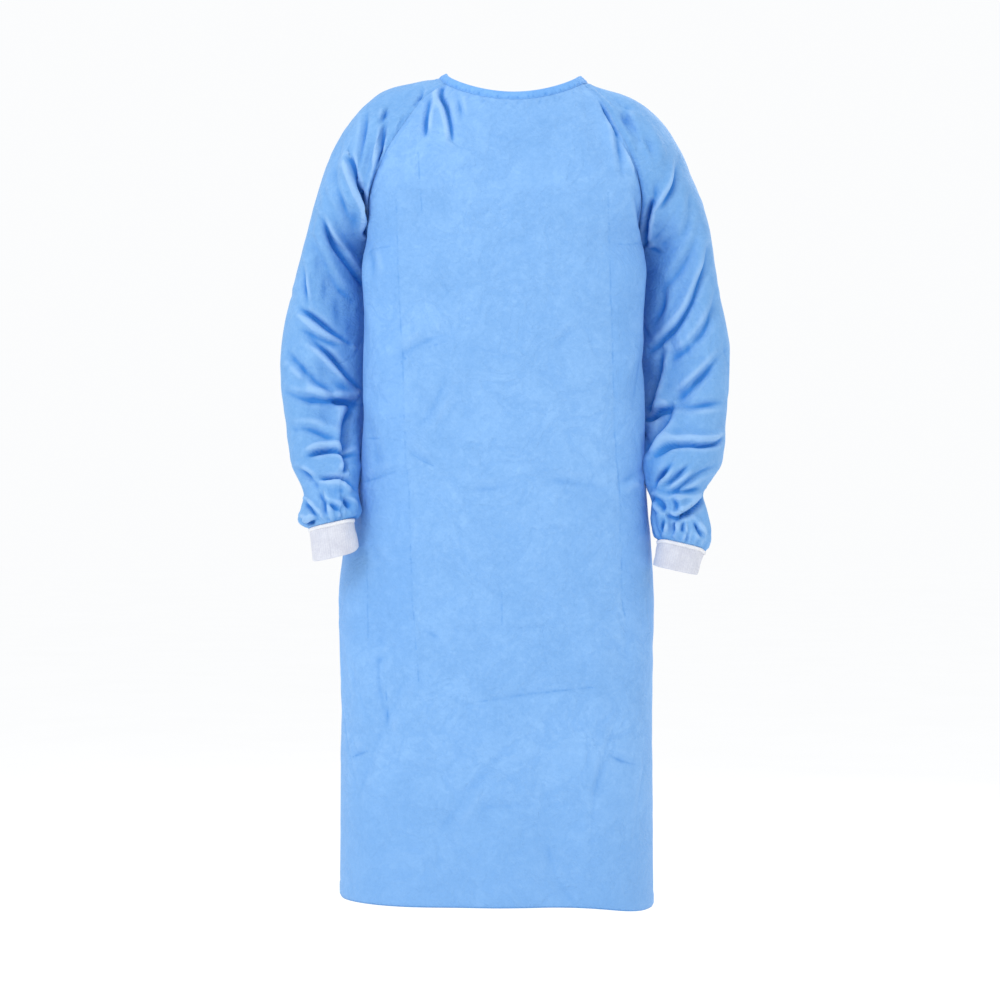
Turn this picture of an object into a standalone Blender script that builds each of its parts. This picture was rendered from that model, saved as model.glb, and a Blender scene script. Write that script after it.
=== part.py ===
"""An isolation gown in the hollow form that it has when it is worn.

The gown faces -Y. +X is the right-hand side of someone who looks at its front, and the
origin lies in the middle of the neck opening, level with the shoulders that hold it up.
Every panel is a wall of cloth. Its rows are cubic curves, and short tables say where
the rows run at each section: the yoke, the body, and the raglan sleeves.
"""

import math

import bmesh
import bpy
import numpy as np

# Sizes of the cloth, in metres.
CLOTH = 0.0015  # thickness of a panel's wall
SEAM_GAP = 0.0003  # between two pieces that are sewn together
BINDING = 0.0010  # thickness of each leaf of the neck binding
TIE_THICK = 0.0012
KNIT = 0.0018  # thickness of a cuff

# Steps across the panels.
FRONT_STEPS = 26
BACK_STEPS = 20  # right across the back, from side seam to side seam
OVERLAP_STEPS = 5  # columns that each back panel runs past the centre back
SLEEVE_STEPS = 36  # round a sleeve
CUFF_STEPS = 24

# The first table gives half a cross-section of the body at each level, outwards from
# its own centre line. Level 0 is the neck edge, level 6 the underarm.
NECK, COLLAR_FOOT, UNDERARM, TIE_TOP, TIE_BOTTOM, HEM = 0, 1, 6, 8, 9, 13
BODY_STEPS = (1, 1, 2, 2, 2, 2, 3, 3, 1, 2, 2, 3, 3)

CLOTH_BLUE = (0.246, 0.503, 0.919, 1.0)
KNIT_WHITE = (0.70, 0.72, 0.80, 1.0)


class Sections:
    """A short table with named columns, read smoothly between its rows. The columns in
    pace say how far apart the rows are, and a column that is read with a corner turns
    sharply there."""

    def __init__(self, columns, pace, rows):
        self.columns = columns.split()
        self.values = np.array(rows, float)
        steps = np.diff(self.pick(pace), axis=0)
        lengths = np.maximum(np.linalg.norm(steps, axis=1), 1e-4)
        self.knots = np.concatenate([[0.0], np.cumsum(lengths)])

    def pick(self, names):
        return self.values[:, [self.columns.index(name) for name in names.split()]]

    def read(self, names, level, corner=None):
        values, knots = self.pick(names), self.knots
        level = np.atleast_1d(np.asarray(level, float))
        slopes = np.diff(values, axis=0) / np.diff(knots)[:, None]
        before, after = np.diff(knots)[:-1, None], np.diff(knots)[1:, None]
        middle = (slopes[:-1] * after + slopes[1:] * before) / (before + after)
        leaving = np.vstack([slopes[:1], middle, slopes[-1:]])
        arriving = leaving.copy()
        if corner is not None:
            arriving[corner], leaving[corner] = slopes[corner - 1], slopes[corner]
        i = np.clip(np.floor(level).astype(int), 0, len(values) - 2)
        t = (level - i)[:, None]
        span = (knots[i + 1] - knots[i])[:, None]
        return (
            (2 * t**3 - 3 * t**2 + 1) * values[i]
            + (t**3 - 2 * t**2 + t) * span * leaving[i]
            + (3 * t**2 - 2 * t**3) * values[i + 1]
            + (t**3 - t**2) * span * arriving[i + 1]
        )


# centre: how far the section's centre line lies to +X.
# seam: the point where the front panel ends, at the raglan seam or the side seam.
# pull: the handle of the front's curve at that point; mid: the centre front, with the
# length of its handle.
FRONT = Sections(
    "centre seam_x seam_y seam_z pull_x pull_y pull_z mid_y mid_z mid_pull",
    "mid_z",
    [
        (0.0108, 0.092, -0.022, -0.004, -0.008, -0.030, -0.010, -0.076, -0.033, 0.045),
        (0.0105, 0.098, -0.028, -0.014, -0.010, -0.028, -0.010, -0.080, -0.0435, 0.048),
        (0.0090, 0.119, -0.045, -0.030, -0.026, -0.026, -0.012, -0.086, -0.062, 0.055),
        (0.0050, 0.147, -0.067, -0.072, -0.036, -0.026, -0.014, -0.099, -0.102, 0.070),
        (0.0020, 0.173, -0.082, -0.120, -0.034, -0.030, -0.012, -0.111, -0.147, 0.090),
        (-0.0010, 0.192, -0.070, -0.182, -0.008, -0.048, -0.008, -0.122, -0.198, 0.120),
        (-0.0030, 0.189, 0.015, -0.245, 0.036, -0.098, 0.000, -0.129, -0.245, 0.150),
        (-0.0030, 0.185, 0.020, -0.360, 0.048, -0.102, 0.000, -0.133, -0.360, 0.160),
        (-0.0030, 0.185, 0.020, -0.458, 0.048, -0.102, 0.000, -0.132, -0.458, 0.162),
        (-0.0030, 0.185, 0.020, -0.483, 0.048, -0.102, 0.000, -0.131, -0.483, 0.162),
        (-0.0055, 0.193, 0.014, -0.585, 0.042, -0.098, 0.000, -0.128, -0.585, 0.158),
        (-0.0120, 0.2165, 0.006, -0.680, 0.018, -0.098, 0.000, -0.131, -0.680, 0.162),
        (-0.0130, 0.2195, 0.000, -0.900, 0.010, -0.100, 0.000, -0.138, -0.900, 0.165),
        (-0.0125, 0.2205, 0.000, -1.172, 0.008, -0.104, 0.000, -0.149, -1.172, 0.165),
    ],
)
BACK = Sections(
    "seam_x seam_y seam_z pull_x pull_y pull_z mid_y mid_z mid_pull",
    "mid_z",
    [
        (0.088, 0.040, -0.004, -0.010, 0.020, -0.002, 0.076, -0.014, 0.040),
        (0.093, 0.046, -0.013, -0.012, 0.020, -0.003, 0.081, -0.0245, 0.044),
        (0.112, 0.064, -0.028, -0.022, 0.018, -0.006, 0.090, -0.044, 0.050),
        (0.139, 0.084, -0.066, -0.032, 0.016, -0.008, 0.104, -0.090, 0.065),
        (0.161, 0.092, -0.115, -0.030, 0.022, -0.008, 0.115, -0.140, 0.080),
        (0.181, 0.080, -0.180, -0.012, 0.040, -0.006, 0.123, -0.195, 0.100),
        (0.189, 0.015, -0.245, -0.018, 0.090, 0.000, 0.125, -0.245, 0.110),
        (0.185, 0.020, -0.360, -0.030, 0.082, 0.000, 0.121, -0.360, 0.110),
        (0.185, 0.020, -0.458, -0.032, 0.074, 0.000, 0.111, -0.458, 0.110),
        (0.185, 0.020, -0.483, -0.032, 0.074, 0.000, 0.111, -0.483, 0.110),
        (0.193, 0.014, -0.585, -0.024, 0.082, 0.000, 0.116, -0.585, 0.118),
        (0.2165, 0.006, -0.680, -0.012, 0.092, 0.000, 0.124, -0.680, 0.128),
        (0.2195, 0.000, -0.900, -0.008, 0.098, 0.000, 0.134, -0.900, 0.135),
        (0.2205, 0.000, -1.172, -0.008, 0.104, 0.000, 0.146, -1.172, 0.140),
    ],
)

# The sleeve cap, levels 0 to 5. out: the point over the shoulder; crown: its handle,
# front to back; front and back: the handles where the cap leaves the two raglan seams.
CAP_COLUMNS = "out_x out_y out_z crown front_x front_y front_z back_x back_y back_z"
CAP = {
    "left": [
        (0.097, 0.008, 0.005, 0.010, 0.004, 0.010, 0.003, 0.003, -0.010, 0.002),
        (0.107, 0.008, -0.001, 0.012, 0.006, 0.012, 0.005, 0.005, -0.012, 0.004),
        (0.134, 0.008, -0.006, 0.019, 0.009, 0.018, 0.012, 0.009, -0.018, 0.010),
        (0.186, 0.006, -0.024, 0.034, 0.022, 0.008, 0.020, 0.022, -0.006, 0.018),
        (0.225, 0.004, -0.064, 0.050, 0.024, -0.006, 0.015, 0.024, 0.006, 0.013),
        (0.256, 0.004, -0.127, 0.070, 0.018, -0.034, 0.006, 0.018, 0.034, 0.006),
    ],
    "right": [
        (0.097, 0.008, 0.001, 0.010, 0.004, 0.010, 0.003, 0.003, -0.010, 0.002),
        (0.107, 0.008, -0.010, 0.012, 0.006, 0.012, 0.004, 0.005, -0.012, 0.003),
        (0.134, 0.008, -0.018, 0.019, 0.009, 0.018, 0.009, 0.009, -0.018, 0.007),
        (0.186, 0.006, -0.036, 0.034, 0.022, 0.008, 0.017, 0.022, -0.006, 0.015),
        (0.226, 0.004, -0.071, 0.050, 0.024, -0.006, 0.014, 0.024, 0.006, 0.012),
        (0.260, 0.004, -0.127, 0.070, 0.018, -0.034, 0.006, 0.018, 0.034, 0.006),
    ],
}
# The arm, levels 6 to 15: the inner point under the arm, the outer point, and the depth
# from their line to the front and to the back; lean: how far the inner handles point
# outwards, which keeps the sleeve off the body. x is outwards from the gown's x = 0.
ARM_COLUMNS = "in_x in_y in_z out_x out_y out_z deep lean"
ARM = {
    "left": [
        (0.192, 0.015, -0.245, 0.283, 0.008, -0.214, 0.064, 0.060),
        (0.198, 0.024, -0.280, 0.298, 0.016, -0.268, 0.063, 0.036),
        (0.1970, 0.030, -0.338, 0.312, 0.018, -0.326, 0.062, 0.026),
        (0.1970, 0.030, -0.400, 0.323, 0.016, -0.386, 0.060, 0.022),
        (0.1985, 0.022, -0.462, 0.322, 0.006, -0.448, 0.058, 0.018),
        (0.2060, -0.008, -0.515, 0.3135, -0.014, -0.505, 0.055, 0.006),
        (0.2120, -0.046, -0.560, 0.3040, -0.044, -0.556, 0.049, 0.004),
        (0.2165, -0.072, -0.592, 0.2845, -0.074, -0.600, 0.040, 0.000),
        (0.2120, -0.090, -0.621, 0.2890, -0.092, -0.634, 0.036, 0.000),
        (0.2147, -0.100, -0.6333, 0.2757, -0.100, -0.6471, 0.026, 0.000),
    ],
    "right": [
        (0.186, 0.015, -0.245, 0.291, 0.008, -0.214, 0.064, 0.060),
        (0.193, 0.024, -0.280, 0.300, 0.016, -0.268, 0.063, 0.036),
        (0.1910, 0.030, -0.338, 0.311, 0.018, -0.326, 0.062, 0.026),
        (0.1910, 0.030, -0.400, 0.3215, 0.016, -0.386, 0.060, 0.022),
        (0.1930, 0.022, -0.462, 0.3190, 0.010, -0.450, 0.058, 0.022),
        (0.2010, -0.016, -0.515, 0.3135, -0.006, -0.507, 0.056, 0.014),
        (0.2015, -0.056, -0.560, 0.3070, -0.034, -0.556, 0.050, 0.020),
        (0.2090, -0.056, -0.600, 0.2800, -0.048, -0.598, 0.040, 0.006),
        (0.2105, -0.058, -0.638, 0.2895, -0.058, -0.646, 0.037, 0.000),
        (0.2153, -0.064, -0.6641, 0.2810, -0.064, -0.6796, 0.026, 0.000),
    ],
}
ARM_STEPS = (2, 2, 2, 2, 2, 2, 2, 2, 2)
GATHERS = 9  # round the end of a sleeve
GATHER_DEPTH = 0.0026

# A cuff from its seam to its open end: the inner point, the outer point, the depth.
CUFF_COLUMNS = "in_x in_y in_z out_x out_y out_z deep"
CUFF = {
    "left": [
        (0.2146, -0.100, -0.6337, 0.2757, -0.100, -0.6475, 0.026),
        (0.2096, -0.103, -0.6550, 0.2725, -0.103, -0.6700, 0.025),
        (0.2057, -0.105, -0.6785, 0.2701, -0.105, -0.6935, 0.026),
    ],
    "right": [
        (0.2152, -0.064, -0.6645, 0.2810, -0.064, -0.6800, 0.026),
        (0.2110, -0.066, -0.6820, 0.2750, -0.066, -0.6960, 0.025),
        (0.2080, -0.067, -0.6990, 0.2700, -0.067, -0.7125, 0.026),
    ],
}
CUFF_ROWS = 4

# The largest folds: from one place to another, each as a level and a share of the way
# across. On a sleeve the share goes round it (0 inside, 0.25 front, 0.5 outside, 0.75
# back); on the front and the back it goes from the -X seam to the +X seam. A positive
# depth is a trough and a negative one a ridge.
FOLD_COLUMNS = "level_a round_a level_b round_b depth width"
FOLDS = {
    "front": [
        (2.2, 0.10, 5.2, 0.17, 0.0035, 0.016),
        (2.0, 0.90, 4.8, 0.84, 0.0035, 0.016),
        (5.8, 0.06, 8.6, 0.24, 0.0035, 0.018),
        (6.0, 0.95, 8.4, 0.80, 0.0030, 0.018),
        (9.1, 0.28, 8.8, 0.80, 0.0030, 0.020),
        (10.2, 0.12, 11.6, 0.30, 0.0030, 0.020),
        (11.2, 0.44, 12.4, 0.22, 0.0030, 0.020),
        (10.8, 0.86, 12.2, 0.70, 0.0025, 0.020),
    ],
    "back": [
        (2.4, 0.12, 6.0, 0.20, 0.0050, 0.020),
        (2.6, 0.88, 6.2, 0.82, 0.0050, 0.020),
        (6.4, 0.05, 9.2, 0.26, 0.0050, 0.020),
        (6.6, 0.95, 9.4, 0.76, 0.0050, 0.020),
        (9.8, 0.30, 12.0, 0.22, 0.0060, 0.024),
        (9.8, 0.70, 12.4, 0.80, 0.0060, 0.024),
    ],
    "left": [
        (5.4, 0.46, 8.6, 0.07, 0.007, 0.010),
        (2.5, 0.16, 5.6, 0.06, 0.006, 0.009),
        (8.8, 0.40, 10.2, 0.06, 0.006, 0.011),
        (9.8, 0.36, 11.3, 0.05, 0.006, 0.010),
        (12.4, 0.40, 12.3, 0.08, 0.006, 0.008),
        (13.4, 0.16, 13.8, 0.06, 0.005, 0.007),
        (5.6, 0.55, 8.4, 0.90, 0.007, 0.011),
        (9.2, 0.60, 10.6, 0.93, 0.006, 0.011),
        (12.3, 0.60, 12.2, 0.90, 0.006, 0.009),
    ],
    "right": [
        (7.8, 0.45, 9.5, 0.05, 0.008, 0.010),
        (2.0, 0.12, 4.6, 0.10, 0.006, 0.008),
        (9.2, 0.34, 10.8, 0.05, 0.006, 0.010),
        (11.9, 0.46, 12.5, 0.10, 0.006, 0.009),
        (13.1, 0.48, 14.0, 0.18, 0.005, 0.007),
        (5.6, 0.58, 8.2, 0.92, 0.007, 0.011),
        (9.4, 0.56, 10.8, 0.92, 0.006, 0.011),
        (12.2, 0.58, 12.6, 0.90, 0.006, 0.009),
    ],
}

# Soft waves of the skirt: how many go right round, how deep they are at the hem, and
# how the back, which hangs free, is deeper than the front, which the knees hold out.
WAVES = 8
WAVE_FRONT = 0.0025
WAVE_BACK = 0.0065
WAVE_START = 9.5
HEM_DROP = 0.014  # the hem hangs lower at the side seam on the right

# Where the back panels overlap, the one on the right lies outside the other.
LIFT_NECK = 0.0050  # clears the binding on the edge below it
LIFT_BODY = 0.0024

TIE_LENGTH_LOOSE = 0.23
TIE_WIDTH = 0.025
KNOT = (0.034, 0.016, 0.030)


def cubic(a, b, c, d, t):
    """Points of the cubic curve with ends a and d and handles' ends b and c."""
    t = t.reshape((1,) * (a.ndim - 1) + (-1, 1))
    a, b, c, d = (p[..., None, :] for p in (a, b, c, d))
    return (1 - t) ** 3 * a + 3 * (1 - t) ** 2 * t * b + 3 * (1 - t) * t**2 * c + t**3 * d


def levels(steps, first=0):
    """Levels of the rows, with so many steps from each section to the next."""
    found = [np.arange(n) / n + first + i for i, n in enumerate(steps)]
    return np.append(np.concatenate(found), first + len(steps))


def half_section(table, level):
    """Seam, its handle's end, the middle's handle's end and the middle, for +X."""
    centre = FRONT.read("centre", level)
    seam = table.read("seam_x seam_y seam_z", level, UNDERARM)
    pull = table.read("pull_x pull_y pull_z", level)
    mid = table.read("mid_y mid_z", level)
    reach = table.read("mid_pull", level)
    zero = np.zeros_like(centre)
    middle = np.hstack([zero, mid])
    handle = np.hstack([reach, mid])
    return centre, seam, seam + pull, handle, middle


def section_row(table, level, steps):
    """A whole row from the -X seam to the +X seam, as (rows, steps + 1, 3)."""
    centre, seam, pulled, handle, middle = half_section(table, level)
    half = cubic(seam, pulled, handle, middle, np.linspace(0, 1, steps // 2 + 1))
    other = half * (-1, 1, 1)
    row = np.concatenate([other, half[:, -2::-1]], axis=1)
    row[..., 0] += centre
    return row


def skirt_waves(points, outward, depth_of):
    """Moves the points in and out, more and more towards the hem."""
    low = HEM_Z - WAVE_TOP_Z
    share = np.clip((points[..., 2] - WAVE_TOP_Z) / low, 0, 1) ** 1.5
    turn = np.arctan2(points[..., 0], -points[..., 1])
    wave = np.cos(WAVES * turn) + 0.4 * np.cos(5 * turn + 1.0)
    points = points + outward * (share * depth_of * wave)[..., None]
    points[..., 2] -= HEM_DROP * share**2 * np.exp(-(((points[..., 0] - 0.21) / 0.07) ** 2))
    return points


def normals_of(points, closed=False):
    """Unit normals of a grid of points, from its rows and columns."""
    if closed:
        wide = np.concatenate([points[:, -1:], points, points[:, :1]], axis=1)
        across = wide[:, 2:] - wide[:, :-2]
    else:
        across = np.gradient(points, axis=1)
    down = np.gradient(points, axis=0)
    normal = np.cross(down, across)
    return normal / np.maximum(np.linalg.norm(normal, axis=-1, keepdims=True), 1e-12)


def unit(vectors):
    return vectors / np.maximum(np.linalg.norm(vectors, axis=-1, keepdims=True), 1e-12)


FRONT_LEVELS = levels(BODY_STEPS)
CAP_ROWS = int(sum(BODY_STEPS[:UNDERARM]))
HEM_Z = FRONT.values[HEM][FRONT.columns.index("mid_z")]
WAVE_TOP_Z = float(FRONT.read("mid_z", WAVE_START)[0, 0])


def pressed(points, normals, name):
    """A panel of the body with its largest folds, which leave its seams alone."""
    depth = fold_depth(FRONT_LEVELS, points, FOLDS[name])
    depth[:, 0] = depth[:, -1] = 0
    depth[:2] = 0
    return points - normals * depth[..., None]


def front_surface():
    """The front panel's middle surface, from its left seam to its right seam."""
    points = section_row(FRONT, FRONT_LEVELS, FRONT_STEPS)
    points = pressed(points, normals_of(points), "front")
    return skirt_waves(points, normals_of(points), WAVE_FRONT)


def back_surface():
    """The middle surface right across the back, without the overlap."""
    points = section_row(BACK, FRONT_LEVELS, BACK_STEPS)
    points = pressed(points, -normals_of(points), "back")
    normal = -normals_of(points)
    across = np.abs(np.linspace(-1, 1, points.shape[1]))
    edge = WAVE_FRONT / WAVE_BACK
    depth = WAVE_BACK * (edge + (1 - edge) * np.clip((1 - across) * 3, 0, 1))
    return skirt_waves(points, normal, depth[None, :])


def sleeve_table(side):
    """The outer points and handles of a sleeve for all its levels, as one table."""
    sign = {"left": -1, "right": 1}[side]
    centre = FRONT.read("centre", np.arange(UNDERARM))[:, 0]
    rows = []
    for level, row in enumerate(CAP[side]):
        rows.append((sign * row[0] + centre[level], *row[1:4], sign * row[4], *row[5:7],
                     sign * row[7], *row[8:]))
    for in_x, in_y, in_z, out_x, out_y, out_z, deep, lean in ARM[side]:
        handle = 4 / 3 * deep
        rows.append((sign * out_x, out_y, out_z, handle, sign * lean, -handle, 0.0,
                     sign * lean, handle, 0.0))
    return Sections(CAP_COLUMNS, "out_x out_y out_z", rows)


def sleeve_surface(side):
    """A sleeve's middle surface: open rows over the shoulder, then closed rings."""
    sign = {"left": -1, "right": 1}[side]
    cap = FRONT_LEVELS[: CAP_ROWS + 1]
    arm = levels(ARM_STEPS, UNDERARM)
    level = np.concatenate([cap[:-1], arm])
    table = sleeve_table(side)
    outer = table.read("out_x out_y out_z", level)
    crown = table.read("crown", level) * (0, 1, 0)
    pull_front = table.read("front_x front_y front_z", level)
    pull_back = table.read("back_x back_y back_z", level)
    inner = Sections(ARM_COLUMNS, "in_x in_y in_z", ARM[side])
    under = inner.read("in_x in_y in_z", arm - UNDERARM) * (sign, 1, 1)
    centre = FRONT.read("centre", cap[:-1]) * (1, 0, 0)
    ends = []
    for sections in (FRONT, BACK):
        seam = sections.read("seam_x seam_y seam_z", cap[:-1], UNDERARM)
        seam = seam * (sign, 1, 1) + centre
        ends.append(np.vstack([seam, under]))
    front, back = ends
    t = np.linspace(0, 1, SLEEVE_STEPS // 2 + 1)
    fore = cubic(front, front + pull_front, outer - crown, outer, t)
    aft = cubic(outer, outer + crown, back + pull_back, back, t)
    points = np.concatenate([fore, aft[:, 1:]], axis=1)
    return level, points


def on_sleeve(level, points, at_level, at_round):
    """The point of a sleeve's surface at a level and a share of the way round."""
    row = np.interp(at_level, level, np.arange(len(level)))
    column = at_round * (points.shape[1] - 1)
    i, j = int(min(row, len(level) - 2)), int(min(column, points.shape[1] - 2))
    a, b = row - i, column - j
    top = points[i, j] * (1 - b) + points[i, j + 1] * b
    low = points[i + 1, j] * (1 - b) + points[i + 1, j + 1] * b
    return top * (1 - a) + low * a


def fold_depth(level, points, folds):
    """How far each point is pushed in by the folds, which fade towards their ends."""
    depth = np.zeros(points.shape[:2])
    share = np.linspace(0, 1, 15)
    for level_a, round_a, level_b, round_b, deep, width in folds:
        line = np.array([
            on_sleeve(level, points, level_a + (level_b - level_a) * s,
                      round_a + (round_b - round_a) * s)
            for s in share
        ])
        away = np.linalg.norm(points[:, :, None] - line, axis=-1)
        fade = np.sin(np.pi * (0.12 + 0.76 * share)) ** 0.7
        depth += (deep * fade * np.exp(-((away / width) ** 2))).max(axis=-1)
    return depth


def gather_depth(level, columns):
    """The gathers at the end of a sleeve, as even waves that fade up the arm."""
    start, end = UNDERARM + 6.0, UNDERARM + len(ARM_STEPS)
    rise = np.clip((level - start) / (end - start), 0, 1) ** 1.3
    turn = 2 * np.pi * np.arange(columns) / (columns - 1)
    return GATHER_DEPTH * rise[:, None] * np.cos(GATHERS * turn)[None, :]


def seam_frames(points, inward_a, inward_b, outward):
    """For a seam: the way across it from b to a, and the direction out of the cloth."""
    along = unit(np.gradient(points, axis=0))
    across = inward_a - inward_b
    across = unit(across - along * (across * along).sum(-1, keepdims=True))
    out = unit(np.cross(along, across))
    flip = np.sign((out * outward).sum(-1, keepdims=True))
    return across, out * np.where(flip == 0, 1, flip)


class Panel:
    """A grid of points with a direction out of the cloth at each, and its wall."""

    def __init__(self, points, normals, ring_from=None):
        self.points = points.copy()
        self.normals = normals.copy()
        self.ring_from = ring_from  # the row from which the grid is closed into rings

    def join_column(self, column, rows, inward, across, out, sign):
        """Sets the edge at this column to its share of a seam."""
        own = self.normals[rows, column]
        miter = np.clip(1 / np.clip((own * out).sum(-1, keepdims=True), 0.3, 1), 1, 1.5)
        self.points[rows, column] += sign * across * SEAM_GAP / 2
        self.normals[rows, column] = out * miter

    def mesh(self, name, material, thick=CLOTH):
        rows, columns = self.points.shape[:2]
        index = np.arange(rows * columns).reshape(rows, columns)
        if self.ring_from is not None:
            index[self.ring_from:, -1] = index[self.ring_from:, 0]
        corners = [index[:-1, :-1], index[:-1, 1:], index[1:, 1:], index[1:, :-1]]
        quads = np.stack(corners, axis=-1).reshape(-1, 4)
        middle = self.points.reshape(-1, 3)
        push = self.normals.reshape(-1, 3) * thick / 2
        return wall(name, middle + push, middle - push, quads, material)


def wall(name, outside, inside, quads, material):
    """A closed wall between two skins that share the same quads."""
    count = len(outside)
    edges = {}
    for quad in quads:
        for a, b in zip(quad, np.roll(quad, -1)):
            edges[(a, b)] = edges.get((a, b), 0) + 1
    rim = [(a, b) for a, b in edges if (b, a) not in edges]
    faces = []
    for quad in quads:
        for one, two, three in halves((outside + inside) / 2, quad):
            faces.append((one, two, three))
            faces.append((three + count, two + count, one + count))
    faces += [(b, a, a + count, b + count) for a, b in rim]
    return solid(name, np.vstack([outside, inside]), faces, material)


def halves(points, quad):
    """A quad as two triangles, cut along its shorter diagonal, so that two skins that
    lie close together are cut alike."""
    a, b, c, d = (int(i) for i in quad)
    if np.linalg.norm(points[a] - points[c]) > np.linalg.norm(points[b] - points[d]):
        a, b, c, d = b, c, d, a
    return [t for t in ((a, b, c), (a, c, d)) if len(set(t)) == 3]


def solid(name, points, faces, material):
    """A mesh object whose faces point outwards, with the unused points left out."""
    used = sorted({i for face in faces for i in face})
    renumber = {old: new for new, old in enumerate(used)}
    mesh = bpy.data.meshes.new(name)
    vertices = [tuple(points[i]) for i in used]
    mesh.from_pydata(vertices, [], [[renumber[i] for i in face] for face in faces])
    obj = bpy.data.objects.new(name, mesh)
    bpy.context.scene.collection.objects.link(obj)
    mesh.materials.append(material)
    shape = bmesh.new()
    shape.from_mesh(mesh)
    if shape.calc_volume(signed=True) < 0:
        bmesh.ops.reverse_faces(shape, faces=shape.faces)
    shape.to_mesh(mesh)
    shape.free()
    mesh.shade_smooth()
    mesh.set_sharp_from_angle(angle=math.radians(60))
    return obj


def finish_of(name, colour, roughness):
    material = bpy.data.materials.new(name)
    material.use_nodes = True
    shader = material.node_tree.nodes["Principled BSDF"]
    shader.inputs["Base Color"].default_value = colour
    shader.inputs["Roughness"].default_value = roughness
    shader.inputs["Metallic"].default_value = 0.0
    return material


def lift(rows, columns):
    """How far the outer back panel stands off at each point, and where it does."""
    neck = np.clip(1 - (FRONT_LEVELS - COLLAR_FOOT) / 2.0, 0, 1)[:, None]
    height = LIFT_BODY + (LIFT_NECK - LIFT_BODY) * neck
    middle = BACK_STEPS // 2
    inside = np.clip((middle + OVERLAP_STEPS + 2.0 - np.arange(columns)) / 2.0, 0, 1)
    return height * inside[None, :]


def body_panels():
    """The front and the two back panels, joined down the side seams."""
    front_points = front_surface()
    back_points = back_surface()
    front_normals = normals_of(front_points)
    back_normals = -normals_of(back_points)
    middle = BACK_STEPS // 2
    rows, columns = back_points.shape[:2]
    raised = back_points + back_normals * lift(rows, columns)[..., None]
    panels = {
        "front_panel": Panel(front_points, front_normals),
        "back_panel_left": Panel(
            back_points[:, : middle + OVERLAP_STEPS + 1],
            back_normals[:, : middle + OVERLAP_STEPS + 1],
        ),
        "back_panel_right": Panel(
            raised[:, middle - OVERLAP_STEPS:],
            back_normals[:, middle - OVERLAP_STEPS:],
        ),
    }
    return panels


def join_body(panels, sleeves):
    """Gives each seam its gap: the side seams, then the four raglan seams."""
    front = panels["front_panel"]
    below = slice(CAP_ROWS + 1, None)
    above = slice(0, CAP_ROWS)
    for side, sign in (("left", -1), ("right", 1)):
        edge = 0 if sign < 0 else -1
        near = 1 if sign < 0 else -2
        back = panels[f"back_panel_{side}"]
        sleeve = sleeves[side]
        plans = [
            (front, edge, near, back, edge, near, below),
            (front, edge, near, sleeve, 0, 1, above),
            (back, edge, near, sleeve, -1, -2, above),
        ]
        moves = []
        for a, a_edge, a_near, b, b_edge, b_near, rows in plans:
            line = a.points[rows, a_edge]
            in_a = unit(a.points[rows, a_near] - line)
            in_b = unit(b.points[rows, b_near] - line)
            outward = a.normals[rows, a_edge] + b.normals[rows, b_edge]
            across, out = seam_frames(line, in_a, in_b, outward)
            moves.append((a, a_edge, rows, in_a, across, out, 1))
            moves.append((b, b_edge, rows, in_b, across, out, -1))
        for panel, column, rows, inward, across, out, way in moves:
            panel.join_column(column, rows, inward, across, out, way)
        join_underarm(front, back, sleeve, edge, near)


def join_underarm(front, back, sleeve, edge, near):
    """Draws the three corners at the underarm a little apart."""
    row = CAP_ROWS
    corner = front.points[row, edge].copy()
    outward = unit(front.normals[row, edge] + back.normals[row, edge])
    for panel in (front, back):
        toward = unit(panel.points[row, near] - corner)
        panel.points[row, edge] = corner + toward * 2 * SEAM_GAP
        panel.normals[row, edge] = outward
    sleeve.points[row, 0] = corner + outward * (CLOTH + 2 * SEAM_GAP)
    sleeve.points[row, -1] = sleeve.points[row, 0]
    down = unit(sleeve.normals[row + 1, 0]) + np.array([0.0, 0.0, -1.0])
    sleeve.normals[row, 0] = sleeve.normals[row, -1] = unit(down)


def cuff_rings(side, level, steps):
    """Rings of a cuff at these levels, with the directions out of them."""
    sign = {"left": -1, "right": 1}[side]
    table = Sections(CUFF_COLUMNS, "in_x in_y in_z", CUFF[side])
    inner = table.read("in_x in_y in_z", level) * (sign, 1, 1)
    outer = table.read("out_x out_y out_z", level) * (sign, 1, 1)
    deep = table.read("deep", level) * (0, 4 / 3, 0)
    t = np.linspace(0, 1, steps // 2 + 1)
    fore = cubic(inner, inner - deep, outer - deep, outer, t)
    aft = cubic(outer, outer + deep, inner + deep, inner, t)
    points = np.concatenate([fore, aft[:, 1:]], axis=1)
    normals = np.empty_like(points)
    normals[:, :-1] = normals_of(points[:, :-1], closed=True) * sign
    normals[:, -1] = normals[:, 0]
    return points, normals


def cuff_panel(side):
    """A knitted cuff: a short tube whose ring leans as the forearm does."""
    level = np.linspace(0, len(CUFF[side]) - 1, CUFF_ROWS + 1)
    points, normals = cuff_rings(side, level, CUFF_STEPS)
    return Panel(points, normals, ring_from=0)


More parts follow.
